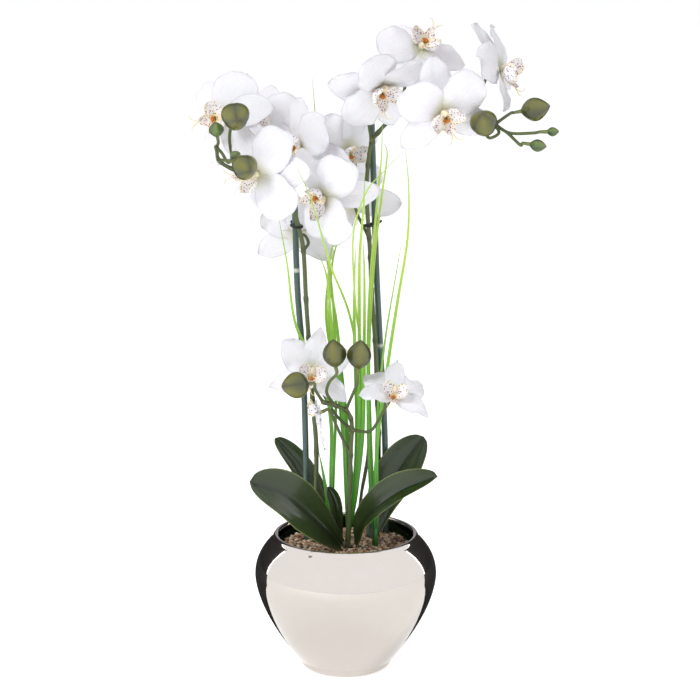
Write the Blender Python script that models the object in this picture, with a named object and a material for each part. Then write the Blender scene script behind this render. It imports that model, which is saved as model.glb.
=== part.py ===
"""Potted moth orchid: three flower stems, leaves and grass in a round glazed pot.

World frame: the origin is the middle of the pot's flat foot, +Z is up, +X is right and -Y is the
front. Sizes and places below are in millimetres, and meshes are written in metres.
"""

import math

import bmesh
import bpy
import numpy as np

MM = 0.001
GAP = 0.3               # clearance between two pieces that touch

# ------------------------------------------------------------------ pot and its filling
POT_HEIGHT = 113.6
POT_BELLY_RADIUS = 74.2
POT_BELLY_HEIGHT = 79.0
POT_LIP_RADIUS = 57.0   # to the middle of the rounded lip
POT_WALL = 4.6
POT_FOOT_RADIUS = 31.0  # the flat foot
POT_SIDES = 40

BED_TOP = 102.0         # mean height of the pebbles
BED_BOTTOM = 88.0
BED_BUMP = 0.7          # how far the bed's surface rises and falls
PLUG_BOTTOM = 12.0
ROD_FOOT = 60.0         # stems and stakes go down to here, into the foam
PLANT_FOOT = BED_TOP + 1.2  # the grass stands on the pebbles
LEAF_FOOT = BED_TOP + 4.0

# ------------------------------------------------------------------ flowers
SEPAL_LENGTH = 45.0
SEPAL_HALF_WIDTH = 15.0
PETAL_LENGTH = 42.0
PETAL_HALF_WIDTH = 20.0
PETAL_ANGLE = 52.0      # between the dorsal sepal and each petal
SEPAL_ANGLE = 118.0     # between the dorsal sepal and each lateral sepal
FABRIC = 1.6            # thickness of a bloom's solid at its middle
LIP_LOBES = ((70.0, 24.0, 8.5, 32.0), (-70.0, 24.0, 8.5, 32.0), (180.0, 15.0, 4.5, 30.0))
LIP_PLACE = (0.0, -5.0, 3.4)
LIP_THICKNESS = 1.4
HUB_RADIUS = 6.0        # the lobes of a bloom or a lip join in a round hub

STAKE_RADIUS = 2.45
STEM_RADIUS = 2.0
PEDICEL_RADIUS = 1.25
PEDICEL_SHORT = 2.2     # a pedicel ends this far behind the middle of its flower
TIE_KNOT_RADIUS = 1.1


class Flower:
    """One flower: where its heart is, where it faces and how its lobes are bent.

    yaw is 0 to the front and positive to the right, pitch is positive upwards, and roll turns the
    dorsal sepal from straight up to the left as seen by someone facing the flower. leans are how
    far the dorsal sepal, the two petals and the two lateral sepals bend forwards, in degrees, each
    pair with the lobe clockwise from the dorsal sepal first. opened is the length of every lobe but
    the dorsal sepal, and of the lip, as a part of their full length: a late flower is below one.
    """

    def __init__(self, name, place, yaw, pitch, roll, leans, size=1.0, lip_roll=0.0, opened=1.0):
        self.name = name
        self.opened = opened
        self.place = np.array(place, float)
        self.size = size
        self.leans = leans
        yaw, pitch, roll = (math.radians(angle) for angle in (yaw, pitch, roll))
        level = math.cos(pitch)
        self.facing = np.array([math.sin(yaw) * level, -math.cos(yaw) * level, math.sin(pitch)])
        right = np.array([math.cos(yaw), math.sin(yaw), 0.0])
        up = np.cross(self.facing, right)
        self.dorsal = math.cos(roll) * up - math.sin(roll) * right
        self.right = np.cross(self.dorsal, self.facing)
        self.lip_roll = math.radians(lip_roll)

    def world(self, points):
        """Points of the flower's own frame (right, dorsal, facing), moved to the world."""
        points = np.asarray(points, float) * self.size
        return self.place + points @ np.array([self.right, self.dorsal, self.facing])

    def lobes(self):
        """Angle from the dorsal sepal, length, half width and lean of each lobe of the bloom."""
        sepal = (self.opened * SEPAL_LENGTH, SEPAL_HALF_WIDTH * self.opened**0.5)
        petal = (self.opened * PETAL_LENGTH, PETAL_HALF_WIDTH * self.opened**0.5)
        dorsal_half = SEPAL_HALF_WIDTH * self.opened**0.5
        shapes = ((0.0, SEPAL_LENGTH, dorsal_half), (PETAL_ANGLE, *petal), (-PETAL_ANGLE, *petal),
                  (SEPAL_ANGLE, *sepal), (-SEPAL_ANGLE, *sepal))
        return [(*shape, lean) for shape, lean in zip(shapes, self.leans)]


FLOWERS = [
    Flower("a", (28, -5, 483), 28, -20, 90, (-12, 22, 0, 35, 0), 1.0, -90),
    Flower("b", (60, 36, 506), 15, 42, 140, (10, 16, -3, -25, -15), 0.95),
    Flower("c", (76, -30, 467), 14, -12, 10, (-20, 10, 12, 4, 12), 1.0, 12),
    Flower("d", (122, 30, 490), 72, 12, 14, (-10, -4, 0, -3, 14), 1.0),
    Flower("e", (-98, 12, 455), -15, 10, -75, (5, -3, -12, -20, -30), 1.0),
    Flower("f", (-68, -35, 418), -33, 4, -82, (-6, -3, -2, -2, -3), 1.03),
    Flower("g", (-34, 20, 427), -44, 3, -99, (-12, -20, 12, -3, -3), 1.0),
    Flower("h", (-16, -14, 396), -32, -18, -90, (-25, 28, -4, 5, -4), 1.0),
    Flower("i", (2, 46, 423), 40, 0, -7, (5, -5, -10, -10, -8), 0.88),
    Flower("j", (5, 73, 373), 195, 0, -28, (-5, -5, -5, -5, -5), 0.95),
    Flower("k", (-40, 38, 354), 170, 3, 0, (-5, -5, 0, 0, -5), 0.82),
    Flower("l", (-27, -6, 250), 5, 22, -12, (15, 10, 10, -10, -10), 0.87),
    Flower("m", (-21, -6, 217), -80, -5, 180, (0, 10, 10, 10, 10), 0.75, 0.0, 0.4),
    Flower("n", (38, -40, 241), 14, 42, -18, (-6, -16, -18, 10, 24), 0.8),
    Flower("o", (-70, 57, 443), -12, 26, -6, (-18, -3, -20, -3, -3), 0.9),
]

# Bud: name, middle, direction of its tip, length and diameter.
BUDS = [
    ("bud_front_left", (-9, -38, 273.5), (-0.1, -0.1, 1.0), 24, 19),
    ("bud_front_right", (11, -38, 272.5), (0.1, -0.1, 1.0), 25, 19.5),
    ("bud_front_side", (-40, -52, 251), (-0.8, -0.5, 0.05), 25, 21),
    ("bud_right_inner", (108, -36, 459), (-0.15, -0.7, 0.7), 24, 21.5),
    ("bud_right_outer", (150, -6, 465), (0.97, -0.1, 0.2), 24, 19),
    ("bud_right_small_upper", (164, -8, 447), (1.0, -0.1, 0.05), 10, 7.5),
    ("bud_right_small_lower", (152, -14, 437), (0.97, -0.2, -0.1), 14, 10),
    ("bud_left_upper", (-86, -36, 464), (0.1, -1.0, -0.05), 25, 22),
    ("bud_left_lower", (-78, -60, 428), (0.4, -0.9, -0.1), 23, 20),
    ("bud_left_small_outer", (-101.5, -24, 451.5), (-0.1, -0.3, 1.0), 13, 12),
    ("bud_left_small_inner", (-86, -38, 433), (0.6, -0.5, 0.6), 10, 9),
]


# ------------------------------------------------------------------ curves and grids
def smooth(points, count):
    """A Catmull-Rom curve through the points, read at count evenly spaced parameters."""
    points = np.asarray(points, float)
    points = np.vstack([2 * points[0] - points[1], points, 2 * points[-1] - points[-2]])
    place = np.linspace(0.0, len(points) - 3, count)
    start = np.minimum(place.astype(int), len(points) - 4)
    t = (place - start)[:, None]
    p0, p1, p2, p3 = (points[start + step] for step in range(4))
    return 0.5 * (2 * p1 + (p2 - p0) * t + (2 * p0 - 5 * p1 + 4 * p2 - p3) * t**2
                  + (3 * p1 - p0 - 3 * p2 + p3) * t**3)


def unit(vectors):
    """The vectors at length one."""
    return vectors / np.linalg.norm(vectors, axis=-1, keepdims=True)


def frames(path, hint):
    """Tangent, across and normal at each point of a path, with the normal near the hint."""
    tangent = unit(np.gradient(path, axis=0))
    across = unit(np.cross(tangent, np.asarray(hint, float)))
    return tangent, across, np.cross(across, tangent)


def mesh_of(name, points, faces):
    """A mesh from millimetre points, with its faces turned outwards."""
    mesh = bpy.data.meshes.new(name)
    mesh.from_pydata((np.asarray(points) * MM).tolist(), [], faces)
    work = bmesh.new()
    work.from_mesh(mesh)
    bmesh.ops.recalc_face_normals(work, faces=work.faces)
    work.to_mesh(mesh)
    work.free()
    return mesh


def rings_mesh(name, rings):
    """A closed mesh through equal rings of points, its first and last ring capped.

    A ring whose points all coincide becomes a single pole.
    """
    points = []
    rows = []
    for ring in rings:
        ring = np.asarray(ring, float)
        if np.ptp(ring, axis=0).max() < 1e-6:
            rows.append([len(points)])
            points.append(ring[0])
        else:
            rows.append(list(range(len(points), len(points) + len(ring))))
            points.extend(ring)
    faces = []
    for lower, upper in zip(rows, rows[1:]):
        count = max(len(lower), len(upper))
        for step in range(count):
            after = (step + 1) % count
            if len(lower) == 1:
                faces.append((lower[0], upper[after], upper[step]))
            elif len(upper) == 1:
                faces.append((lower[step], lower[after], upper[0]))
            else:
                faces.append((lower[step], lower[after], upper[after], upper[step]))
    faces += [tuple(row) for row in (rows[0], rows[-1]) if len(row) > 1]
    return mesh_of(name, points, faces)


def tube_mesh(name, path, radii, sides):
    """A round tube with flat ends along a path."""
    path = np.asarray(path, float)
    radii = np.broadcast_to(np.asarray(radii, float), len(path))
    tangent = unit(np.gradient(path, axis=0))
    hint = np.array([0.0, 1.0, 0.0]) if abs(tangent[:, 1]).max() < 0.95 else np.array([1.0, 0.0, 0.1])
    _, across, normal = frames(path, hint)
    turn = np.linspace(0.0, math.tau, sides, endpoint=False)
    rings = [centre + radius * (np.outer(np.cos(turn), a) + np.outer(np.sin(turn), n))
             for centre, radius, a, n in zip(path, radii, across, normal)]
    return rings_mesh(name, rings)


def strap_mesh(name, path, widths, thickness, fold, hint):
    """A tapering blade along a path: its cross-section is a thin V with a sharp edge on each side."""
    _, across, normal = frames(path, hint)
    rings = []
    for centre, width, a, n in zip(path, widths, across, normal):
        half = 0.5 * width
        thick = min(thickness, 0.6 * width)
        section = ((-half, fold * half), (0.0, 0.5 * thick), (half, fold * half), (0.0, -0.5 * thick))
        rings.append([centre + x * a + z * n for x, z in section])
    return rings_mesh(name, rings)


# ------------------------------------------------------------------ objects
def material(name, colour, roughness, metallic=0.0):
    """A Principled material."""
    made = bpy.data.materials.new(name)
    made.use_nodes = True
    shader = made.node_tree.nodes["Principled BSDF"]
    shader.inputs["Base Color"].default_value = (*colour, 1.0)
    shader.inputs["Roughness"].default_value = roughness
    shader.inputs["Metallic"].default_value = metallic
    made.diffuse_color = (*colour, 1.0)
    return made


def add(mesh, look, smooth_angle=40.0):
    """An object for a mesh, under the mesh's name, with its material."""
    obj = bpy.data.objects.new(mesh.name, mesh)
    bpy.context.scene.collection.objects.link(obj)
    mesh.materials.append(look)
    mesh.shade_smooth()
    mesh.set_sharp_from_angle(angle=math.radians(smooth_angle))
    return obj


def keep_largest(mesh):
    """Removes every shell of a mesh but the one with the most vertices, such as a sealed bubble."""
    work = bmesh.new()
    work.from_mesh(mesh)
    waiting = set(work.verts)
    shells = []
    while waiting:
        shell = [waiting.pop()]
        for vertex in shell:
            near = {edge.other_vert(vertex) for edge in vertex.link_edges} & waiting
            waiting -= near
            shell.extend(near)
        shells.append(shell)
    shells.sort(key=len)
    for shell in shells[:-1]:
        bmesh.ops.delete(work, geom=shell, context="VERTS")
    work.to_mesh(mesh)
    work.free()


def united(name, meshes):
    """One closed mesh: the Boolean union of overlapping closed meshes."""
    scene = bpy.context.scene.collection
    body = bpy.data.objects.new(name, meshes[0])
    helpers = [body]
    scene.objects.link(body)
    for mesh in meshes[1:]:
        other = bpy.data.objects.new("joined", mesh)
        scene.objects.link(other)
        helpers.append(other)
        join = body.modifiers.new("join", "BOOLEAN")
        join.operation = "UNION"
        join.solver = "EXACT"
        join.object = other
    graph = bpy.context.evaluated_depsgraph_get()
    result = bpy.data.meshes.new_from_object(body.evaluated_get(graph), depsgraph=graph)
    for helper in helpers:
        bpy.data.objects.remove(helper)
    meshes[0].name = "blank"
    result.name = name
    keep_largest(result)
    return result


# ------------------------------------------------------------------ pot and its filling
def pot_profile():
    """Radius and height down the pot's outside and up its inside, from lip to lip."""
    lip = POT_WALL / 2
    lip_height = POT_HEIGHT - lip
    foot_edge = 6.5

    def outer(height):
        """Outer radius: an ellipse above the belly, and below it a curve that runs into a cone."""
        if height >= POT_BELLY_HEIGHT:
            part = (height - POT_BELLY_HEIGHT) / (lip_height - POT_BELLY_HEIGHT)
            return POT_BELLY_RADIUS - (POT_BELLY_RADIUS - POT_LIP_RADIUS - lip) * part**2.1
        part = (POT_BELLY_HEIGHT - height) / (POT_BELLY_HEIGHT - foot_edge)
        return POT_BELLY_RADIUS - (POT_BELLY_RADIUS - POT_FOOT_RADIUS - foot_edge) * part**1.65

    heights = np.linspace(lip_height, foot_edge, 10)
    outside = [(outer(height), height) for height in heights]
    corner = [(POT_FOOT_RADIUS + foot_edge * math.cos(turn), foot_edge - foot_edge * math.sin(turn))
              for turn in np.radians([35, 65, 90])]
    inside = [(outer(height) - POT_WALL, height) for height in heights[::-1] if height > 12]
    floor = [(0.0, 7.0), (POT_FOOT_RADIUS - 4, 7.0)]
    edge = [(POT_LIP_RADIUS - lip * math.cos(turn), lip_height + lip * math.sin(turn))
            for turn in np.radians([45, 90, 135])]
    return outside + corner, floor + inside + edge


def turned(profile, sides):
    """Rings of points for a profile turned about the pot's axis."""
    turn = np.linspace(0.0, math.tau, sides, endpoint=False)
    return [np.stack([radius * np.cos(turn), radius * np.sin(turn), np.full(sides, height)], axis=1)
            for radius, height in profile]


def pot():
    """The open pot: one wall from the foot to the rounded lip and back down inside."""
    outer, inner = pot_profile()
    foot = [(0.0, 0.0)]
    return rings_mesh("pot", turned(foot + outer[::-1] + inner[::-1], POT_SIDES))


def foam_plug():
    """The hidden block that fills the pot under the pebbles and holds the stems."""
    outer, inner = pot_profile()
    wall = sorted((height, radius) for radius, height in inner if radius > 1.0)
    heights, radii = zip(*wall)
    levels = np.linspace(PLUG_BOTTOM, BED_BOTTOM - GAP, 6)
    side = [(float(np.interp(level, heights, radii)) - 2.0, level) for level in levels]
    return rings_mesh("foam_plug", turned([(0.0, levels[0])] + side + [(0.0, levels[-1])], 24))


def pebble_bed():
    """The bed of pebbles: one uneven disc that fills the pot's mouth."""
    sides = 30
    radius = POT_LIP_RADIUS - POT_WALL / 2 - 0.6
    turn = np.linspace(0.0, math.tau, sides, endpoint=False)
    rings = []
    rim = [(0.0, BED_BOTTOM), (1.0, BED_BOTTOM), (1.0, BED_TOP - 3.0)]
    for part, level in rim + [(part, BED_TOP) for part in (0.8, 0.55, 0.3, 0.0)]:
        bumps = BED_BUMP * np.sin(5 * turn + 7 * part) * np.cos(3 * turn - 5 * part)
        if part in (0.0, 1.0):
            bumps = 0.0
        rings.append(np.stack([part * radius * np.cos(turn), part * radius * np.sin(turn),
                               np.full(sides, level) + bumps], axis=1))
    return rings_mesh("pebble_bed", rings)


# ------------------------------------------------------------------ blooms, lips and buds
def lobed_disc(name, flower, lobes, thickness, offset, roll, hub_rise):
    """A closed thin shell whose outline is the outer edge of lobes around a hub.

    A lobe of length L and half width w is an ellipse through the middle, so along a ray at angle f
    from the lobe it reaches L cos f / (cos^2 f + (L / 2w)^2 sin^2 f). Each ray takes the farthest
    lobe, and its rise comes from the leans of the lobes weighted by how far each one reaches.
    """
    rays = 6 * len(lobes)
    turn = np.linspace(0.0, math.tau, rays, endpoint=False)
    angles, lengths, halves, leans = (np.array(column, float)[:, None] for column in zip(*lobes))
    away = turn - np.radians(angles)
    reach = lengths * np.cos(away) / (np.cos(away)**2 + (lengths / (2 * halves))**2 * np.sin(away)**2)
    reach = np.maximum(reach, 0.0) + 1e-3
    weight = reach**3
    lean = np.radians((weight * leans).sum(axis=0) / weight.sum(axis=0))
    outline = np.maximum(reach.max(axis=0), HUB_RADIUS)
    spread = turn + roll
    rays_out = np.stack([np.sin(spread) * np.cos(lean), np.cos(spread) * np.cos(lean), np.sin(lean)], axis=1)
    edge = outline[:, None] * rays_out
    front = np.array([0.0, 0.0, 0.5 * thickness])
    rings = [np.zeros((rays, 3)) - front]
    rings += [0.6 * edge - 0.8 * front, edge, 0.6 * edge + 0.8 * front]
    rings += [np.zeros((rays, 3)) + front + np.array([0.0, 0.0, hub_rise])]
    return rings_mesh(name, [flower.world(ring + np.asarray(offset)) for ring in rings])


def bloom(flower):
    """Three sepals and two petals in one moulded sheet."""
    return lobed_disc(f"bloom_{flower.name}", flower, flower.lobes(), FABRIC, (0, 0, 0), 0.0, 0.6)


def lip(flower):
    """The flower's lip: two raised side lobes and a narrow middle lobe, just clear of the bloom."""
    turn = -flower.lip_roll
    x, y, z = LIP_PLACE
    place = (x * math.cos(turn) + y * math.sin(turn), y * math.cos(turn) - x * math.sin(turn), z)
    lobes = [(angle, flower.opened * length, half, lean) for angle, length, half, lean in LIP_LOBES]
    return lobed_disc(f"lip_{flower.name}", flower, lobes, LIP_THICKNESS, place, turn, 0.4)


def bud(name, middle, direction, length, diameter):
    """A closed bud: an egg with three soft ridges and a blunt tip."""
    axis = unit(np.array(direction, float))
    side = unit(np.cross(axis, (0.31, 0.52, 0.79)))
    other = np.cross(axis, side)
    turn = np.linspace(0.0, math.tau, 9, endpoint=False)
    rings = []
    for part in np.linspace(0.0, 1.0, 7):
        along = (part - 0.5) * length
        belly = math.sin(math.pi * part**0.9) ** 0.8 if 0 < part < 1 else 0.0
        radius = 0.5 * diameter * belly * (1.0 + 0.05 * np.cos(3 * turn))
        rings.append(np.array(middle) + along * axis + np.outer(radius * np.cos(turn), side)
                     + np.outer(radius * np.sin(turn), other))
    return rings_mesh(name, rings)


# ------------------------------------------------------------------ stakes, ties and stems
STAKE_LEFT = ((-41, 20, 385), (-39, 19, 314), (-35, 19, 258), (-33, 18, 193), (-32, 17, 115),
              (-32, 17, 80), (-32, 17, ROD_FOOT))
STAKE_RIGHT = ((21, 38, 445), (23, 38, 385), (25, 38, 325), (28, 37, 266), (32, 37, 190), (33, 37, 115),
               (33, 37, 80), (33, 37, ROD_FOOT))

STEM_LEFT = ((-25, 11, ROD_FOOT), (-25, 11, 80), (-25, 11, 115), (-24, 11, 180), (-27, 11, 223),
             (-30, 12, 274), (-32, 12, 306), (-34, 12, 347), (-38, 11, 367), (-42, 8, 382), (-50, 0, 398),
             (-66, -4, 411), (-88, -6, 416), (-100, -10, 424), (-102, -16, 436))
STEM_RIGHT = ((27, 39, ROD_FOOT), (27, 39, 80), (27, 39, 115), (27, 39, 187), (26, 34, 214),
              (24, 33, 267), (21, 33, 309), (20, 33, 336), (19, 32, 353), (17, 31, 387), (18, 31, 413),
              (21, 30, 432), (26, 27, 440), (34, 25, 449), (43, 24, 455), (59, 24, 460), (83, 20, 463),
              (102, 8, 458), (118, -4, 452))
STEM_FRONT = ((2, -5, ROD_FOOT), (2, -5, 80), (2, -5, 115), (4, -9, 182), (5, -10, 203), (4, -14, 214),
              (0, -19, 222), (-9, -26, 228), (-18, -32, 232))

# Side branch: the stem point it leaves from (an index into the route), points on its way, and the
# flower or bud that it carries.
BRANCHES_LEFT = (
    (7, ((-30, 20, 351), (-34, 29, 356)), "k"),
    (10, ((-56, 30, 400), (-64, 60, 410)), "o"),
    (10, ((-54, -8, 412),), "f"),
    (11, ((-74, 14, 424), (-88, 22, 440)), "e"),
    (12, ((-92, -5, 440), (-89, -10, 458)), "bud_left_upper"),
    (13, ((-100, -28, 428), (-93, -42, 430)), "bud_left_lower"),
    (14, ((-97, -28, 433),), "bud_left_small_inner"),
    (14, (), "bud_left_small_outer"),
)
BRANCHES_RIGHT = (
    (8, ((11, 46, 366),), "j"),
    (9, ((10, 24, 396),), "h"),
    (9, ((12, 44, 391), (3, 54, 402), (-3, 58, 412)), "i"),
    (9, ((6, 27, 387), (-13, 21, 403)), "g"),
    (11, ((18, 20, 458),), "a"),
    (14, ((50, 42, 484),), "b"),
    (15, ((72, 6, 470),), "c"),
    (16, ((106, 20, 474),), "d"),
    (18, ((121, -14, 447), (114, -26, 445)), "bud_right_inner"),
    (18, ((130, -6, 461),), "bud_right_outer"),
    (18, ((130, -9, 446), (148, -9, 446)), "bud_right_small_upper"),
    (18, ((128, -9, 446), (138, -12, 437)), "bud_right_small_lower"),
)
BRANCHES_FRONT = (
    (3, ((-6, -6, 202),), "m"),
    (4, ((20, -16, 204), (30, -24, 222)), "n"),
    (6, ((5, -28, 236), (9, -34, 248)), "bud_front_right"),
    (7, ((-15, -34, 240), (-13, -38, 250)), "bud_front_left"),
    (4, ((-8, 4, 212), (-20, 14, 230)), "l"),
    (8, ((-24, -40, 244),), "bud_front_side"),
)


def rod(name, route, radius):
    """A stake: a plain round rod."""
    return tube_mesh(name, smooth(route, 14), radius, 8)


def landing(target):
    """Where a side branch ends and the direction it arrives in, for a flower or a bud."""
    for flower in FLOWERS:
        if flower.name == target:
            return flower.place - PEDICEL_SHORT * flower.facing, flower.facing
    for name, middle, direction, length, _ in BUDS:
        if name == target:
            axis = unit(np.array(direction, float))
            return np.array(middle) - (length / 2 + GAP) * axis, axis
    raise ValueError(f"no flower or bud is called {target}")


def branch_mesh(route, start, way, target):
    """A side branch from the middle of its stem to the flower or bud that it carries."""
    end, direction = landing(target)
    points = [route[start], *way, end - 6.0 * direction, end]
    return tube_mesh("branch", smooth(points, 2 * len(points) - 1), PEDICEL_RADIUS, 5)


def stem(name, route, branches):
    """A flower stem joined with its side branches."""
    count = 2 * len(route) - 1
    radii = np.linspace(STEM_RADIUS, 0.72 * STEM_RADIUS, count)
    main = tube_mesh(name, smooth(route, count), radii, 6)
    return united(name, [main] + [branch_mesh(route, *branch) for branch in branches])


def tie(name, first, second, wire=0.7):
    """A twist tie: a closed loop of wire around a stake and the stem beside it, with a twisted end."""
    first, second = np.array(first, float), np.array(second, float)
    reach = STAKE_RADIUS + GAP + wire + 0.2
    along = unit(second - first)
    side = np.array([-along[1], along[0], 0.0])
    turn = np.linspace(0.0, math.tau, 20, endpoint=False)
    spin = np.linspace(0.0, math.tau, 6, endpoint=False)
    rings = []
    for angle in turn:
        out = math.cos(angle) * along + math.sin(angle) * side
        place = (second if math.cos(angle) > 0 else first) + reach * out
        rings.append(place + wire * (np.outer(np.cos(spin), out) + np.outer(np.sin(spin), (0, 0, 1))))
    points = np.concatenate(rings)
    faces = [(6 * ring + step, 6 * ring + (step + 1) % 6, 6 * ((ring + 1) % 20) + (step + 1) % 6,
              6 * ((ring + 1) % 20) + step) for ring in range(20) for step in range(6)]
    band = mesh_of(name, points, faces)
    start = first - along * reach
    end = start - 4.0 * along + (0.0, 0.0, 1.0)
    knot = tube_mesh("knot", [start + 0.2 * along, start - 2.5 * along, end], TIE_KNOT_RADIUS, 6)
    return united(name, [band, knot])


# ------------------------------------------------------------------ leaves and grass
LEAF_THICKNESS = 2.2
BLADE_THICKNESS = 1.0

# Leaf: name, route from foot to tip, widest width, fold, and the side its face looks to.
LEAVES = (
    ("leaf_front_left", ((-4, -14, LEAF_FOOT), (-23, -28, 130), (-48, -44, 157), (-76, -58, 174)), 42, 0.25,
     (0.2, -0.75, 0.65)),
    ("leaf_front_right", ((9, -12, LEAF_FOOT), (17, -22, 132), (42, -38, 158), (73, -52, 176)), 34, 0.5,
     (-0.3, -0.5, 0.8)),
    ("leaf_back_left", ((-8, 14, LEAF_FOOT), (-20, 28, 128), (-38, 36, 158), (-58, 38, 183)), 26, 0.3,
     (0.4, -0.5, 0.7)),
    ("leaf_back_right", ((21, 8, LEAF_FOOT), (32, 18, 138), (48, 26, 165), (64, 32, 186)), 36, 0.3,
     (-0.25, -0.8, 0.5)),
    ("leaf_middle_right", ((9, 20, LEAF_FOOT), (13, 26, 140), (18, 29, 172), (18, 32, 198)), 12, 0.3,
     (0.95, -0.1, 0.1)),
    ("leaf_middle_left", ((-5, -5, LEAF_FOOT), (-7, -8, 125), (-10, -13, 143), (-15, -20, 158)), 14, 0.3,
     (0.3, -0.6, 0.5)),
)

# Tuft of grass: name, crown, and the blades' routes from the crown upwards with their widths.
TUFTS = (
    ("grass_left", (-12, 4, PLANT_FOOT), (
        (((-12, 5, 160), (-12, 7, 205), (-20, 6, 246), (-40, 5, 286), (-47, 0, 339), (-54, -4, 380)), 3.2),
        (((-10, 10, 160), (-8, 26, 222), (-10, 46, 290), (-16, 52, 345), (-20, 50, 400), (-24, 46, 445),
          (-27, 44, 483)), 2.4),
        (((-15, 4, 140), (-18, 4, 160), (-22, 3, 182)), 3.2),
    )),
    ("grass_middle", (2, 12, PLANT_FOOT), (
        (((8, 6, 150), (11, 3, 212), (9, 4, 262), (2, -8, 302), (-12, -48, 348), (-26, -60, 400),
          (-39, -66, 432)), 2.4),
        (((0, 10, 150), (-3, 12, 218), (-11, 12, 282), (-15, 6, 325), (-22, -10, 350)), 3.0),
        (((1, 12, 150), (-4, 16, 210), (-13, 20, 277), (-13, 18, 319), (-17, 14, 346)), 3.0),
        (((3, 12, 150), (-1, 18, 203), (-15, 24, 280), (-14, 24, 321), (-11, 22, 346), (-2, 20, 364)), 3.0),
        (((5, 14, 150), (0, 22, 207), (-7, 28, 278), (-12, 28, 316), (-8, 26, 346), (3, 24, 370)), 3.0),
        (((7, 10, 150), (9, 10, 202), (7, 10, 279), (7, 8, 319), (8, 6, 352)), 3.4),
        (((9, 8, 150), (12, 6, 204), (11, 3, 283), (11, -40, 350), (14, -60, 396), (15, -64, 424)), 3.4),
        (((9, 11, 150), (14, 10, 201), (15, 8, 278), (15, 2, 328), (14, -6, 360)), 3.4),
        (((9, 4, 150), (14, 2, 214), (12, -2, 272), (8, -30, 310), (6, -64, 374), (16, -66, 409),
          (31, -60, 426), (45, -54, 440)), 1.8),
    )),
    ("grass_right", (24, -2, PLANT_FOOT), (
        (((20, 6, 150), (18, 10, 223), (19, 10, 307), (25, 0, 387), (28, -20, 425), (29, -32, 458)), 2.6),
        (((22, 8, 150), (20, 15, 200), (19, 17, 264), (23, 13, 339), (29, 6, 393), (33, -2, 427),
          (30, -10, 439)), 2.6),
        (((25, -2, 150), (26, 2, 193), (35, 4, 261), (42, -8, 312), (49, -18, 361), (50, -18, 401),
          (47, -16, 438)), 3.0),
        (((24, 4, 150), (26, 10, 215), (32, 8, 274), (39, 4, 320), (46, 0, 362)), 2.0),
        (((26, 2, 140), (24, 3, 166), (27, 4, 199)), 3.2),
    )),
)


def leaf(name, route, width, fold, face):
    """A strap leaf: narrow at its foot, widest past the middle and rounded to a short tip."""
    path = smooth(route, 12)
    part = np.linspace(0.0, 1.0, 12)
    taper = np.minimum(0.22 + 1.5 * part, 1.0) * np.sqrt(np.clip(1 - part**3.5, 0, 1))
    return strap_mesh(name, path, width * np.maximum(taper, 0.06), LEAF_THICKNESS, fold, face)


def tuft(name, crown, blades):
    """A tuft of grass: blades that rise from one small crown."""
    crown = np.array(crown, float)
    pieces = [tube_mesh(name, [crown, crown + (0, 0, 7), crown + (0, 0, 13)], [2.6, 2.3, 1.6], 8)]
    for route, width in blades:
        first = crown + (0.0, 0.0, 4.0)
        path = smooth([first, *route], len(route) + 4)
        part = np.linspace(0.0, 1.0, len(path))
        widths = width * np.maximum(1.0 - 0.85 * part**2.5, 0.15)
        pieces.append(strap_mesh("blade", path, widths, BLADE_THICKNESS, 0.3, (0.1, -1.0, 0.2)))
    return united(name, pieces)


def holed(mesh, rods):
    """The mesh with a clear round hole for each upright rod, given by its place and radius."""
    body = bpy.data.objects.new(mesh.name, mesh)
    bpy.context.scene.collection.objects.link(body)
    helpers = [body]
    for (x, y), radius in rods:
        drill = tube_mesh("drill", [(x, y, ROD_FOOT - 2), (x, y, 90), (x, y, BED_TOP + 9)], radius + GAP, 10)
        other = bpy.data.objects.new("drill", drill)
        bpy.context.scene.collection.objects.link(other)
        helpers.append(other)
        cut = body.modifiers.new("drill", "BOOLEAN")
        cut.operation = "DIFFERENCE"
        cut.solver = "EXACT"
        cut.object = other
    graph = bpy.context.evaluated_depsgraph_get()
    result = bpy.data.meshes.new_from_object(body.evaluated_get(graph), depsgraph=graph)
    name = mesh.name
    for helper in helpers:
        bpy.data.objects.remove(helper)
    mesh.name = "blank"
    result.name = name
    return result


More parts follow.
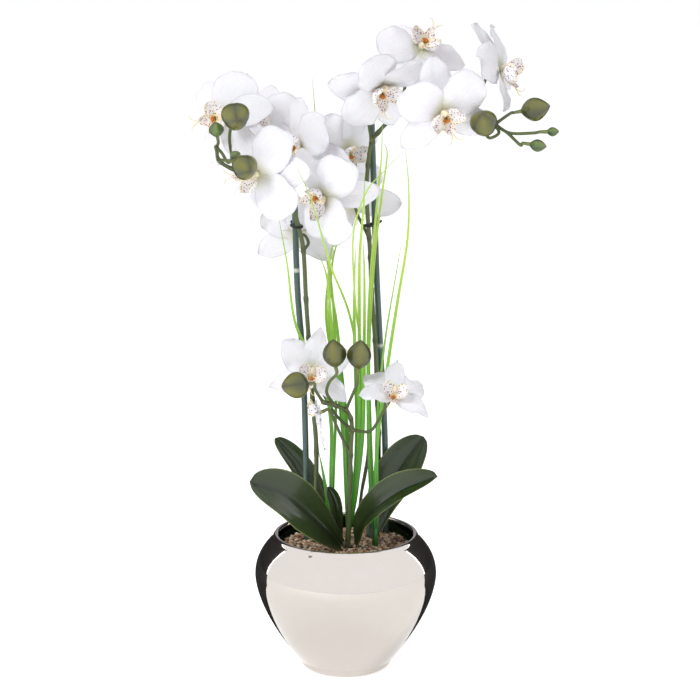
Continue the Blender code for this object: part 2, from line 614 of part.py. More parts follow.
def main():
    """Builds every piece of the potted orchid."""
    for obj in list(bpy.data.objects):
        bpy.data.objects.remove(obj)
    glaze = material("silver_glaze", (0.62, 0.60, 0.58), 0.06, 1.0)
    foam = material("floral_foam", (0.10, 0.17, 0.07), 0.9)
    stones = material("river_pebbles", (0.42, 0.30, 0.18), 0.55)
    stake = material("dark_green_stake", (0.05, 0.10, 0.08), 0.4)
    wire = material("black_twist_tie", (0.01, 0.01, 0.01), 0.5)
    stalk = material("olive_stem", (0.13, 0.16, 0.04), 0.5)
    foliage = material("glossy_leaf", (0.03, 0.06, 0.015), 0.3)
    blade = material("lime_grass", (0.25, 0.55, 0.06), 0.5)
    petal = material("white_petal", (0.93, 0.92, 0.90), 0.6)
    speckled = material("speckled_lip", (0.88, 0.78, 0.76), 0.55)
    bud_skin = material("olive_bud", (0.18, 0.19, 0.02), 0.4)

    add(pot(), glaze)
    rods = [(STAKE_LEFT[-1][:2], STAKE_RADIUS), (STAKE_RIGHT[-1][:2], STAKE_RADIUS)]
    rods += [(route[0][:2], STEM_RADIUS) for route in (STEM_LEFT, STEM_RIGHT, STEM_FRONT)]
    add(holed(foam_plug(), rods), foam)
    add(holed(pebble_bed(), rods), stones)
    add(rod("stake_left", STAKE_LEFT, STAKE_RADIUS), stake)
    add(rod("stake_right", STAKE_RIGHT, STAKE_RADIUS), stake)
    add(stem("stem_left", STEM_LEFT, BRANCHES_LEFT), stalk)
    add(stem("stem_right", STEM_RIGHT, BRANCHES_RIGHT), stalk)
    add(stem("stem_front", STEM_FRONT, BRANCHES_FRONT), stalk)
    add(tie("tie_left", (-41, 20, 366), (-38, 12, 366)), wire)
    add(tie("tie_right", (23.5, 38, 363), (18.3, 31.8, 363)), wire)
    for shape in LEAVES:
        add(leaf(*shape), foliage)
    for shape in TUFTS:
        add(tuft(*shape), blade)
    for flower in FLOWERS:
        add(bloom(flower), petal)
        add(lip(flower), speckled)
    for shape in BUDS:
        add(bud(*shape), bud_skin)


if __name__ == "__main__":
    main()
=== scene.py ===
"""Looks of a potted moth orchid: petals, lips, buds, stems, leaves, grass, pebbles and glazed pot.

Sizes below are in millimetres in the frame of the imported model: the origin is the middle of the
pot's foot, +Z is up, +X is right and -Y is the front. Meshes are written in metres.
"""

import logging
import math
from collections.abc import Sequence
from dataclasses import dataclass, field
from enum import Enum

import bpy
import numpy as np
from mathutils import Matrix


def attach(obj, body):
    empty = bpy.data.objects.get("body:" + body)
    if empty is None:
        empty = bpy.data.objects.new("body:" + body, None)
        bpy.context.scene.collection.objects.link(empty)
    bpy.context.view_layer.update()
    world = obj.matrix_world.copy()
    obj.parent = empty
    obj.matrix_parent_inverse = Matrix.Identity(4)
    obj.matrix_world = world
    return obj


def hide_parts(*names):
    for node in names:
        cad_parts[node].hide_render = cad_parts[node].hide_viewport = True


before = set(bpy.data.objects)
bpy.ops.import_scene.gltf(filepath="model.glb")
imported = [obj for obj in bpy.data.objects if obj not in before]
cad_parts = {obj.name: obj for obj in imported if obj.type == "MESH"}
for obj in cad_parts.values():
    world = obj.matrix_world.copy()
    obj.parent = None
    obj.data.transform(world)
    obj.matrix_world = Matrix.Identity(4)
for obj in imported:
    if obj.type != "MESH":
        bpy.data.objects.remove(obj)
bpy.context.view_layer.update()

MM = 0.001
LOG = logging.getLogger("orchid")
Points = np.ndarray         # an array of places, colours or numbers

# ------------------------------------------------------------------ sizes shared by several pieces
POT_HEIGHT, POT_BELLY_RADIUS, POT_BELLY_HEIGHT = 113.6, 74.2, 79.0
POT_LIP_RADIUS, POT_WALL, POT_FOOT_RADIUS, POT_FOOT_EDGE = 57.0, 4.6, 31.0, 6.5
BED_TOP, BED_BOTTOM, ROD_FOOT = 102.0, 88.0, 60.0
PLANT_FOOT, LEAF_FOOT = BED_TOP + 1.2, BED_TOP + 4.0
PETAL_ANGLE, SEPAL_ANGLE = 52.0, 118.0
LIP_PLACE = (0.0, -5.0, 3.4)
STAKE_RADIUS, STEM_RADIUS, PEDICEL_RADIUS = 2.45, 2.0, 1.25
FABRIC, BLADE_THICKNESS, LEAF_THICKNESS, POT_FLOOR = 0.5, 0.55, 1.8, 7.0
NECK_HALF_WIDTH, NECK_END, THROAT_END = 2.6, 0.18, 0.26     # the ends are parts of a lobe's length
GROOVE_DEPTH, GROOVE_WIDTH = 0.45, 0.1                      # along a lobe; width in half widths
TENDRIL_REACH, TENDRIL_RADIUS, TENDRIL_TAPER = 14.5, 0.5, 0.32
CALLUS, CALLUS_PLACE = (2.0, 1.6, 2.2), (0.0, -1.6, 2.6)
SMALL_BUD = 13.0                                            # slimmer buds are still green
LEAF_SPREAD = 1.14           # soft leaves open wider than their solids


def planted(x: float, y: float) -> tuple[tuple[float, float, float], ...]:
    """The three lowest points of a rod that stands upright in the foam."""
    return (x, y, ROD_FOOT), (x, y, 80), (x, y, 115)


# Where the flowers are: name, place, yaw, pitch and roll, leans of the five lobes, size, roll of the
# lip and how far the flower has opened. Yaw is 0 to the front, and roll turns the dorsal sepal left.
# Values left out at the end are those of an upright, full-grown flower.
FLOWERS = (
    ("a", (28, -5, 483), (28, -20, 90), (-12, 22, 0, 35, 0), 1.0, -90),
    ("b", (60, 36, 506), (15, 42, 140), (10, 16, -3, -25, -15), 0.95),
    ("c", (76, -30, 467), (14, -12, 10), (-20, 10, 12, 4, 12), 1.0, 12),
    ("d", (122, 30, 490), (72, 12, 14), (-10, -4, 0, -3, 14)),
    ("e", (-98, 12, 455), (-15, 10, -75), (5, -3, -12, -20, -30)),
    ("f", (-68, -35, 418), (-33, 4, -82), (-6, -3, -2, -2, -3), 1.03),
    ("g", (-34, 20, 427), (-44, 3, -99), (-12, -20, 12, -3, -3)),
    ("h", (-16, -14, 396), (-32, -18, -90), (-25, 28, -4, 5, -4)),
    ("i", (2, 46, 423), (40, 0, -7), (5, -5, -10, -10, -8), 0.88),
    ("j", (5, 73, 373), (195, 0, -28), (-5, -5, -5, -5, -5), 0.95),
    ("k", (-40, 38, 354), (170, 3, 0), (-5, -5, 0, 0, -5), 0.82),
    ("l", (-27, -6, 250), (5, 22, -12), (15, 10, 10, -10, -10), 0.87),
    ("m", (-21, -6, 217), (-80, -5, 180), (0, 10, 10, 10, 10), 0.75, 0, 0.4),
    ("n", (38, -40, 241), (14, 42, -18), (-6, -16, -18, 10, 24), 0.8),
    ("o", (-70, 57, 443), (-12, 26, -6), (-18, -3, -20, -3, -3), 0.9),
)

STARRY = ("l", "m", "n")     # the low flowers are half open, with narrow pointed lobes

# Lobe of the lip: angle, length, half width, lean, powers of its outline, bow, cup, ripple, colours.
SIDE_LOBE = (19.0, 8.0, 32, (0.5, 0.4), -3.0, 0.8, 0.6, ("#F1E2A4", "#FDFBFD"))
LIP_LOBES = ((70, *SIDE_LOBE), (-70, *SIDE_LOBE),
             (180, 15.0, 4.8, 30, (0.5, 0.62), -1.5, 0.35, 0.3, ("#EBC06A", "#FAF4EE")))

# Bud: name, middle, direction of its tip, length and diameter.
BUDS = (
    ("bud_front_left", (-9, -38, 273.5), (-0.1, -0.1, 1.0), 24, 19),
    ("bud_front_right", (11, -38, 272.5), (0.1, -0.1, 1.0), 25, 19.5),
    ("bud_front_side", (-40, -52, 251), (-0.8, -0.5, 0.05), 25, 21),
    ("bud_right_inner", (108, -36, 459), (-0.15, -0.7, 0.7), 24, 21.5),
    ("bud_right_outer", (150, -6, 465), (0.97, -0.1, 0.2), 24, 19),
    ("bud_right_small_upper", (164, -8, 447), (1.0, -0.1, 0.05), 10, 7.5),
    ("bud_right_small_lower", (152, -14, 437), (0.97, -0.2, -0.1), 14, 10),
    ("bud_left_upper", (-86, -36, 464), (0.1, -1.0, -0.05), 25, 22),
    ("bud_left_lower", (-78, -60, 428), (0.4, -0.9, -0.1), 23, 20),
    ("bud_left_small_outer", (-101.5, -24, 451.5), (-0.1, -0.3, 1.0), 13, 12),
    ("bud_left_small_inner", (-86, -38, 433), (0.6, -0.5, 0.6), 10, 9),
)

STAKES = {
    "stake_left": ((-41, 20, 385), (-39, 19, 314), (-35, 19, 258), (-33, 18, 193), *planted(-32, 17)[::-1]),
    "stake_right": ((21, 38, 445), (23, 38, 385), (25, 38, 325), (28, 37, 266), (32, 37, 190),
                    *planted(33, 37)[::-1]),
}
STAKE_BANDS = {"stake_left": (329.0,), "stake_right": (262.0,)}     # heights of the pale joints
# Tie: name, and the middles of the stake and of the stem that it holds together.
TIES = (("tie_left", (-41, 20, 366), (-38, 12, 366)), ("tie_right", (23.5, 38, 363), (18.3, 31.8, 363)))
STEMS = {
    "stem_left": (*planted(-25, 11), (-24, 11, 180), (-27, 11, 223),
                  (-30, 12, 274), (-32, 12, 306), (-34, 12, 347), (-38, 11, 367), (-42, 8, 382),
                  (-50, 0, 398), (-66, -4, 411), (-88, -6, 416), (-100, -10, 424), (-102, -16, 436)),
    "stem_right": (*planted(27, 39), (27, 39, 187), (26, 34, 214),
                   (24, 33, 267), (21, 33, 309), (20, 33, 336), (19, 32, 353), (17, 31, 387),
                   (18, 31, 413), (21, 30, 432), (26, 27, 440), (34, 25, 449), (43, 24, 455),
                   (59, 24, 460), (83, 20, 463), (102, 8, 458), (118, -4, 452)),
    "stem_front": (*planted(2, -5), (4, -9, 182), (5, -10, 203),
                   (4, -14, 214), (0, -19, 222), (-9, -26, 228), (-18, -32, 232)),
}
# Side branch: index of the stem point it leaves from, points on its way, flower or bud it carries.
BRANCHES = {
    "stem_left": (
        (7, ((-30, 20, 351), (-34, 29, 356)), "k"), (10, ((-56, 30, 400), (-64, 60, 410)), "o"),
        (10, ((-54, -8, 412),), "f"), (11, ((-74, 14, 424), (-88, 22, 440)), "e"),
        (12, ((-92, -5, 440), (-89, -10, 458)), "bud_left_upper"),
        (13, ((-100, -28, 428), (-93, -42, 430)), "bud_left_lower"),
        (14, ((-97, -28, 433),), "bud_left_small_inner"), (14, (), "bud_left_small_outer")),
    "stem_right": (
        (8, ((11, 46, 366),), "j"), (9, ((10, 24, 396),), "h"),
        (9, ((12, 44, 391), (3, 54, 402), (-3, 58, 412)), "i"),
        (9, ((6, 27, 387), (-13, 21, 403)), "g"), (11, ((18, 20, 458),), "a"),
        (14, ((50, 42, 484),), "b"), (15, ((72, 6, 470),), "c"), (16, ((106, 20, 474),), "d"),
        (18, ((121, -14, 447), (114, -26, 445)), "bud_right_inner"),
        (18, ((130, -6, 461),), "bud_right_outer"),
        (18, ((130, -9, 446), (148, -9, 446)), "bud_right_small_upper"),
        (18, ((128, -9, 446), (138, -12, 437)), "bud_right_small_lower")),
    "stem_front": (
        (3, ((-6, -6, 202),), "m"), (4, ((20, -16, 204), (30, -24, 222)), "n"),
        (6, ((5, -28, 236), (9, -34, 248)), "bud_front_right"),
        (7, ((-15, -34, 240), (-13, -38, 250)), "bud_front_left"),
        (4, ((-8, 4, 212), (-20, 14, 230)), "l"), (8, ((-24, -40, 244),), "bud_front_side")),
}
# Leaf: name, route from foot to tip, widest width, fold, and the side its face looks to.
LEAVES = (
    ("leaf_front_left", ((-4, -14, LEAF_FOOT), (-23, -28, 130), (-48, -44, 157), (-76, -58, 174)), 42,
     0.25, (0.2, -0.75, 0.65)),
    ("leaf_front_right", ((9, -12, LEAF_FOOT), (17, -22, 132), (42, -38, 158), (73, -52, 176)), 34,
     0.5, (-0.3, -0.5, 0.8)),
    ("leaf_back_left", ((-8, 14, LEAF_FOOT), (-20, 28, 128), (-38, 36, 158), (-58, 38, 183)), 26,
     0.3, (0.4, -0.5, 0.7)),
    ("leaf_back_right", ((21, 8, LEAF_FOOT), (32, 18, 138), (48, 26, 165), (64, 32, 186)), 36,
     0.3, (-0.25, -0.8, 0.5)),
    ("leaf_middle_right", ((9, 20, LEAF_FOOT), (13, 26, 140), (18, 29, 172), (18, 32, 198)), 12,
     0.3, (0.95, -0.1, 0.1)),
    ("leaf_middle_left", ((-5, -5, LEAF_FOOT), (-7, -8, 125), (-10, -13, 143), (-15, -20, 158)), 14,
     0.3, (0.3, -0.6, 0.5)),
)
# Tuft of grass: name, crown, and the blades' routes from the crown upwards with their widths.
TUFTS = (
    ("grass_left", (-12, 4, PLANT_FOOT), (
        (((-12, 5, 160), (-12, 7, 205), (-20, 6, 246), (-40, 5, 286), (-47, 0, 339), (-54, -4, 380)),
         3.2),
        (((-10, 10, 160), (-8, 26, 222), (-10, 46, 290), (-16, 52, 345), (-20, 50, 400),
          (-24, 46, 445), (-27, 44, 483)), 2.4),
        (((-15, 4, 140), (-18, 4, 160), (-22, 3, 182)), 3.2))),
    ("grass_middle", (2, 12, PLANT_FOOT), (
        (((8, 6, 150), (11, 3, 212), (9, 4, 262), (2, -8, 302), (-12, -48, 348), (-26, -60, 400),
          (-39, -66, 432)), 2.4),
        (((0, 10, 150), (-3, 12, 218), (-11, 12, 282), (-15, 6, 325), (-22, -10, 350)), 3.0),
        (((1, 12, 150), (-4, 16, 210), (-13, 20, 277), (-13, 18, 319), (-17, 14, 346)), 3.0),
        (((3, 12, 150), (-1, 18, 203), (-15, 24, 280), (-14, 24, 321), (-11, 22, 346), (-2, 20, 364)),
         3.0),
        (((5, 14, 150), (0, 22, 207), (-7, 28, 278), (-12, 28, 316), (-8, 26, 346), (3, 24, 370)),
         3.0),
        (((7, 10, 150), (9, 10, 202), (7, 10, 279), (7, 8, 319), (8, 6, 352)), 3.4),
        (((9, 8, 150), (12, 6, 204), (11, 3, 283), (11, -40, 350), (14, -60, 396), (15, -64, 424)),
         3.4),
        (((9, 11, 150), (14, 10, 201), (15, 8, 278), (15, 2, 328), (14, -6, 360)), 3.4),
        (((9, 4, 150), (14, 2, 214), (12, -2, 272), (8, -30, 310), (6, -64, 374), (16, -66, 409),
          (31, -60, 426), (45, -54, 440)), 1.8))),
    ("grass_right", (24, -2, PLANT_FOOT), (
        (((20, 6, 150), (18, 10, 223), (19, 10, 307), (25, 0, 387), (28, -20, 425), (29, -32, 458)),
         2.6),
        (((22, 8, 150), (20, 15, 200), (19, 17, 264), (23, 13, 339), (29, 6, 393), (33, -2, 427),
          (30, -10, 439)), 2.6),
        (((25, -2, 150), (26, 2, 193), (35, 4, 261), (42, -8, 312), (49, -18, 361), (50, -18, 401),
          (47, -16, 438)), 3.0),
        (((24, 4, 150), (26, 10, 215), (32, 8, 274), (39, 4, 320), (46, 0, 362)), 2.0),
        (((26, 2, 140), (24, 3, 166), (27, 4, 199)), 3.2))),
)


# ------------------------------------------------------------------ colour and nodes
def linear(code: str) -> tuple[float, float, float, float]:
    """Linear colour of an sRGB hex value: each channel below 0.04045 over 12.92, else a 2.4 power.

    Args:
        code: Six hex digits after a hash.

    Returns:
        Red, green, blue and an alpha of one.
    """
    channels = [int(code[start:start + 2], 16) / 255 for start in (1, 3, 5)]
    red, green, blue = (c / 12.92 if c <= 0.04045 else ((c + 0.055) / 1.055)**2.4 for c in channels)
    return red, green, blue, 1.0


def tinted(paint: Points, code: str, part: Points) -> Points:
    """The paint, with a part of it from 0 to 1 taken by a hex colour."""
    return paint * (1 - part) + part * np.array(linear(code))


def mixed(first: str, second: str, part: Points) -> Points:
    """Colours between two hex values, one for each number of part, held between 0 and 1."""
    return tinted(np.array(linear(first)), second, np.clip(part, 0.0, 1.0)[..., None])


def add_node(tree: bpy.types.NodeTree, kind: str, links: dict | None = None,
             **settings: object) -> bpy.types.Node:
    """Adds a node with its settings and links.

    Args:
        tree: The material's node tree.
        kind: Node class without its ShaderNode prefix.
        links: Input name or index to the output socket, or the plain value, that it takes.
        **settings: Properties of the node.

    Returns:
        The new node.
    """
    node = tree.nodes.new("ShaderNode" + kind)
    for name, value in settings.items():
        setattr(node, name, value)
    for name, value in (links or {}).items():
        if isinstance(value, bpy.types.NodeSocket):
            tree.links.new(value, node.inputs[name])
        else:
            node.inputs[name].default_value = value
    return node


class Pattern(Enum):
    """What breaks up a finish's surface."""

    VEINS = "fan of pressed veins along a petal"
    SPECKLES = "printed dots"
    LINES = "fine lines along a stem or blade"
    GRAIN = "cloudy grain"


ROUGHER, SMOOTHER = 1.15, 0.9     # roughness of the pattern's low and high parts
STRETCH = {Pattern.VEINS: 7.0, Pattern.LINES: 14.0}     # how much longer than wide the marks are


@dataclass(frozen=True)
class Finish:
    """One finish: what the real material is, how glossy it is and what pattern it carries.

    The base colour is the mesh's own paint attribute times a light and dark pattern; the dark parts lie in
    the bump's hollows and are painted shade there, together with the material's own uneven tone.
    """

    name: str
    roughness: float
    pattern: Pattern
    pattern_mm: float
    bump_mm: float
    # Darkening of the bump's hollows: painted shade, together with the material's own uneven tone.
    shade: float = 0.1            # how much darker the pattern's low parts are
    metallic: float = 0.0
    ior: float = 1.5
    coat: float = 0.0
    sheen: float = 0.0
    subsurface: float = 0.0
    speckle: str = "#7A2F48"
    coat_roughness: float = 0.12
    subsurface_depth: float = 0.002
    colour: str | None = None     # for a mesh that has no paint of its own
    glow: float = 0.0             # only the studio's floor and cards shine
    shine: str = "#FFFFFF"        # the colour that they shine in

    def height(self, tree: bpy.types.NodeTree) -> bpy.types.NodeSocket:
        """The pattern as a height from 0 to 1.

        Args:
            tree: The material's node tree.

        Returns:
            The socket that holds it.
        """
        where = add_node(tree, "TexCoord").outputs["Object"]
        scale = 1 / (self.pattern_mm * MM)
        if self.pattern is Pattern.SPECKLES:
            dots = add_node(tree, "TexVoronoi", {"Vector": where, "Scale": scale, "Randomness": 1.0})
            return add_node(tree, "MapRange", {"Value": dots.outputs["Distance"], "From Min": 0.26,
                                               "From Max": 0.34}).outputs["Result"]
        if self.pattern is Pattern.GRAIN:
            return add_node(tree, "TexNoise", {"Vector": where, "Scale": scale, "Detail": 4.0}).outputs["Fac"]
        # Veins and lines follow the piece: its place attribute is (across, along) in millimetres.
        place = add_node(tree, "Attribute", attribute_name="place").outputs["Vector"]
        stretched = add_node(tree, "Mapping", {"Vector": place,
                                               "Scale": (1.0, 1 / STRETCH[self.pattern], 1.0)})
        return add_node(tree, "TexNoise", {"Vector": stretched.outputs["Vector"],
                                           "Scale": 1 / self.pattern_mm, "Detail": 3.0,
                                           "Roughness": 0.6}).outputs["Fac"]

    def make(self) -> bpy.types.Material:
        """Builds the material: paint times tone as its colour, the pattern as its bump.

        Returns:
            The finish as a node material.
        """
        made = bpy.data.materials.new(self.name)
        made.use_nodes = True
        tree = made.node_tree
        shader = tree.nodes["Principled BSDF"]
        height = self.height(tree)
        paint = add_node(tree, "Attribute", attribute_name="paint")
        base = linear(self.colour) if self.colour else paint.outputs["Color"]
        # Painted shade: the pattern's low parts, the hollows of the bump, turn a cool grey; on grain this
        # also stands for the material's own uneven tone.
        low = (1 - self.shade, 1 - self.shade, 1 - 0.8 * self.shade, 1.0)
        tone = add_node(tree, "Mix", {0: height, 6: low, 7: (1.0, 1.0, 1.0, 1.0)}, data_type="RGBA")
        shaded = add_node(tree, "Mix", {0: 1.0, 6: base, 7: tone.outputs[2]}, data_type="RGBA",
                          blend_type="MULTIPLY")
        if self.pattern is Pattern.SPECKLES:
            bare = add_node(tree, "Math", {0: 1.0, 1: height}, operation="SUBTRACT")
            printed = add_node(tree, "Math", {0: bare.outputs[0], 1: paint.outputs["Alpha"]},
                               operation="MULTIPLY")
            shaded = add_node(tree, "Mix", {0: printed.outputs[0], 6: base, 7: linear(self.speckle)},
                              data_type="RGBA")
        tree.links.new(shaded.outputs[2], shader.inputs["Base Color"])
        bump = add_node(tree, "Bump", {"Height": height, "Distance": self.bump_mm * MM, "Strength": 1.0})
        tree.links.new(bump.outputs["Normal"], shader.inputs["Normal"])
        rough = add_node(tree, "MapRange", {"Value": height, "To Min": min(self.roughness * ROUGHER, 1.0),
                                            "To Max": self.roughness * SMOOTHER})
        tree.links.new(rough.outputs["Result"], shader.inputs["Roughness"])
        constants = {"Metallic": self.metallic, "IOR": self.ior, "Coat Weight": self.coat,
                     "Coat Roughness": self.coat_roughness, "Sheen Weight": self.sheen,
                     "Subsurface Weight": self.subsurface, "Subsurface Scale": self.subsurface_depth,
                     "Emission Strength": self.glow, "Emission Color": linear(self.shine)}
        for socket, value in constants.items():
            shader.inputs[socket].default_value = value
        return made


# Heat-pressed polyester satin: matt, faintly translucent, with embossed veins about 0.9 mm apart.
PETAL = Finish("pressed polyester petal fabric", 0.62, Pattern.VEINS, 0.9, 0.6, 0.15, sheen=0.1,
               subsurface=0.08)
# The same fabric, screen-printed with purple dots of about 1 mm.
LIP = Finish("printed polyester lip fabric", 0.5, Pattern.SPECKLES, 1.7, 0.08, 0.0, subsurface=0.05)
# Injection-moulded polyethylene over foam: satin skin.
BUD = Finish("moulded polyethylene bud", 0.38, Pattern.GRAIN, 1.6, 0.08, 0.22, coat=0.5)
STEM = Finish("moulded polyethylene stem", 0.42, Pattern.LINES, 0.5, 0.12, 0.30, coat=0.1)
BLADE = Finish("extruded polyethylene grass", 0.38, Pattern.LINES, 0.45, 0.06, 0.20, subsurface=0.05)
# Latex-coated polyester leaf: a wet gloss over soft long veins.
LEAF = Finish("latex-coated leaf fabric", 0.30, Pattern.LINES, 1.6, 0.14, 0.28, ior=1.4, coat=0.35)
STONE = Finish("lacquered river pebbles", 0.38, Pattern.GRAIN, 1.1, 0.10, 0.35, coat=0.25)
STAKE = Finish("plastic-coated steel stake", 0.34, Pattern.LINES, 0.7, 0.04, 0.18, coat=0.3)
WIRE = Finish("plastic-coated twist wire", 0.5, Pattern.GRAIN, 0.8, 0.05, 0.2)
# Sprayed silver lustre on fired earthenware: a mirror with a faint orange-peel wave about 9 mm long.
GLAZE = Finish("silver lustre glaze on earthenware", 0.045, Pattern.GRAIN, 9.0, 0.05, 0.03, metallic=1.0)
FOAM = Finish("open-cell phenolic florist foam", 0.9, Pattern.GRAIN, 0.6, 0.4, 0.5, colour="#4E6A3A")
FLOOR = Finish("matt studio paper", 0.8, Pattern.GRAIN, 30.0, 0.02, 0.01, colour="#F4F4F4", glow=0.6)
DARK_CARD = Finish("black velvet card", 0.9, Pattern.GRAIN, 20.0, 0.02, 0.1, colour="#1E1B1A")
LIT_CARD = Finish("lit diffuser card", 0.9, Pattern.GRAIN, 20.0, 0.02, 0.1, colour="#000000", glow=1.6,
                  shine="#F1F1F5")
STRIP = Finish("bright card edge", 0.9, Pattern.GRAIN, 20.0, 0.02, 0.1, colour="#000000", glow=4.0)
MATERIALS: dict[Finish, bpy.types.Material] = {}


def dressed(finish: Finish) -> bpy.types.Material:
    """The finish's material, made once."""
    if finish not in MATERIALS:
        MATERIALS[finish] = finish.make()
    return MATERIALS[finish]


# ------------------------------------------------------------------ curves and closed surfaces
def unit(vectors: Points) -> Points:
    """The vectors at length one."""
    return vectors / np.linalg.norm(vectors, axis=-1, keepdims=True)


def spread(count: int) -> Points:
    """Numbers from -1 to 1 that lie closer together near both ends."""
    return np.sin(np.linspace(-0.5, 0.5, count) * math.pi)


def around(count: int) -> Points:
    """Even angles once around a circle, in radians."""
    return np.linspace(0.0, math.tau, count, endpoint=False)


def bell(distance: Points, width: float) -> Points:
    """A bell curve: e to the power of minus the square of distance over width."""
    return np.exp(-(distance / width)**2)


def travelled(path: Points) -> Points:
    """Distance along a path at each of its points."""
    return np.cumsum(np.linalg.norm(np.diff(path, axis=0, prepend=path[:1]), axis=1))


def ball(down: Points, turn: Points) -> Points:
    """Points of a unit sphere at angles down from its top and around it, shape (down, turn, 3)."""
    return np.stack([np.outer(np.sin(down), np.cos(turn)), np.outer(np.sin(down), np.sin(turn)),
                     np.cos(down)[:, None] + 0 * turn], axis=-1)


def lathed(profile: Points, sides: int) -> Points:
    """Rings of a profile, rows of radius and height, turned about the pot's axis."""
    turn = around(sides)
    return np.stack([np.outer(profile[:, 0], np.cos(turn)), np.outer(profile[:, 0], np.sin(turn)),
                     np.repeat(profile[:, 1:], sides, axis=1)], axis=-1)


def smooth(points: Sequence[Sequence[float]], count: int) -> Points:
    """A Catmull-Rom curve: between two points, a cubic whose ends run along their neighbours' chord.

    Args:
        points: Points that the curve passes through.
        count: How many points to read from it, at even parameters.

    Returns:
        Points of the curve, shape (count, 3).
    """
    points = np.asarray(points, float)
    points = np.vstack([2 * points[0] - points[1], points, 2 * points[-1] - points[-2]])
    place = np.linspace(0.0, len(points) - 3, count)
    start = np.minimum(place.astype(int), len(points) - 4)
    t = (place - start)[:, None]
    p0, p1, p2, p3 = (points[start + step] for step in range(4))
    return 0.5 * (2 * p1 + (p2 - p0) * t + (2 * p0 - 5 * p1 + 4 * p2 - p3) * t**2
                  + (3 * p1 - p0 - 3 * p2 + p3) * t**3)


def frames(path: Points, hint: Sequence[float]) -> tuple[Points, Points]:
    """Directions square to a path at each of its points.

    Args:
        path: Points of the path.
        hint: Direction that the normals stay nearest to.

    Returns:
        Unit vectors across the path, and unit normals.
    """
    tangent = unit(np.gradient(path, axis=0))
    across = unit(np.cross(tangent, np.asarray(hint, float)))
    return across, np.cross(across, tangent)


@dataclass
class Surface:
    """A closed surface: points in mm, faces, paint colours and place on the piece in mm."""

    points: Points
    quads: Points
    triangles: Points
    paint: Points
    place: Points


def closed(rings: Points, paint: Points, place: Points | None = None) -> Surface:
    """Closes a grid of rings into a surface: quads between rings, a fan to the middle of each end.

    Args:
        rings: Points of each ring, shape (rings, round, 3).
        paint: Colour of each point, shape (rings, round, 4) or one colour.
        place: Across and along in mm of each point, shape (rings, round, 2).

    Returns:
        The surface, turned so that its faces look outwards.
    """
    rows, count = rings.shape[:2]
    place = np.zeros((rows, count, 2)) if place is None else np.broadcast_to(place, (rows, count, 2))
    paint = np.broadcast_to(paint, (rows, count, 4))
    index = np.arange(rows * count).reshape(rows, count)
    after = np.roll(index, -1, axis=1)
    quads = np.stack([index[:-1], after[:-1], after[1:], index[1:]], axis=-1).reshape(-1, 4)
    first, last = rows * count, rows * count + 1
    triangles = np.concatenate([
        np.stack([np.full(count, first), after[0], index[0]], axis=-1),
        np.stack([np.full(count, last), index[-1], after[-1]], axis=-1)])

    def with_ends(grid: Points) -> Points:
        """The grid's rows as one list, with the middles of its first and last row added."""
        ends = grid[[0, -1]].mean(axis=1)
        return np.concatenate([grid.reshape(rows * count, -1), ends])

    points = with_ends(rings)
    corners = points[quads]
    middle = points.mean(axis=0)
    outward = np.cross(corners[:, 2] - corners[:, 0], corners[:, 3] - corners[:, 1])
    if ((corners[:, 0] - middle) * outward).sum() < 0:
        quads, triangles = quads[:, ::-1], triangles[:, ::-1]
    return Surface(points, quads, triangles, with_ends(paint), with_ends(place))


def sheet(centre: Points, across: Points, normal: Points, half: Points, rise: Points, thick: Points,
          paint: Points, back: Points | None = None) -> Surface:
    """A thin closed sheet along a centre line.

    Point (s, t) is centre + t * half * across + (rise +- thick * sqrt(1 - t^4) / 2) * normal, with t
    from -1 to 1 over the front and back again over the rear.

    Args:
        centre: Centre line, shape (s, 3), and likewise its across and normal directions.
        across: Unit vectors across the sheet.
        normal: Unit vectors out of its face.
        half: Half width at each s.
        rise: Height of the face at (s, t), shape (s, t).
        thick: Thickness at each s.
        paint: Colours of the front at (s, t).
        back: Colours of the rear, or None for the front's own.

    Returns:
        The closed sheet.
    """
    t = spread(rise.shape[1])
    body = 0.5 * thick[:, None] * np.sqrt(1 - 0.96 * t**4)
    flat = centre[:, None] + (half[:, None] * t)[..., None] * across[:, None]
    sides = [flat + (rise + sign * body)[..., None] * normal[:, None] for sign in (1, -1)]
    rings = np.concatenate([sides[0], sides[1][:, ::-1]], axis=1)
    along = np.broadcast_to(travelled(centre)[:, None], rise.shape)
    mark = np.stack([np.broadcast_to(t * half.max(), rise.shape), along], axis=-1)
    back = paint if back is None else back
    return closed(rings, np.concatenate([paint, back[:, ::-1]], axis=1),
                  np.concatenate([mark, mark[:, ::-1]], axis=1))


def tube(path: Points, radii: Points | float, sides: int, paint: Points | Sequence[float]) -> Surface:
    """A round rod along a path, its ends domed over: a circle of each radius set across the path.

    Args:
        path: Centre line, shape (s, 3).
        radii: Radius at each s, or one radius.
        sides: Points around each circle.
        paint: Colour at each s, shape (s, 4), or one colour.

    Returns:
        The closed rod.
    """
    tangent = unit(np.gradient(path, axis=0))
    hint = (0.0, 1.0, 0.0) if abs(tangent[:, 1]).max() < 0.95 else (1.0, 0.0, 0.1)
    across, normal = frames(path, hint)
    radii = np.broadcast_to(np.asarray(radii, float), len(path))
    dome = np.array([0.45, 0.85])
    reach = np.sqrt(1 - dome**2)
    starts = path[0] - np.outer(radii[0] * reach, tangent[0])
    ends = path[-1] + np.outer(radii[-1] * reach[::-1], tangent[-1])
    path = np.concatenate([starts, path, ends])
    radii = np.concatenate([radii[0] * dome, radii, radii[-1] * dome[::-1]])
    across, normal = (np.concatenate([[v[0]] * 2, v, [v[-1]] * 2]) for v in (across, normal))
    turn = around(sides)
    circle = (np.cos(turn)[:, None] * across[:, None] + np.sin(turn)[:, None] * normal[:, None])
    rings = path[:, None] + radii[:, None, None] * circle
    along = np.broadcast_to(travelled(path)[:, None], (len(path), sides))
    place = np.stack([np.broadcast_to(4 * np.sin(turn), along.shape), along], axis=-1)
    paint = np.asarray(paint)
    if paint.ndim == 2:
        paint = np.concatenate([[paint[0]] * 2, paint, [paint[-1]] * 2])[:, None]
    return closed(rings, paint, place)


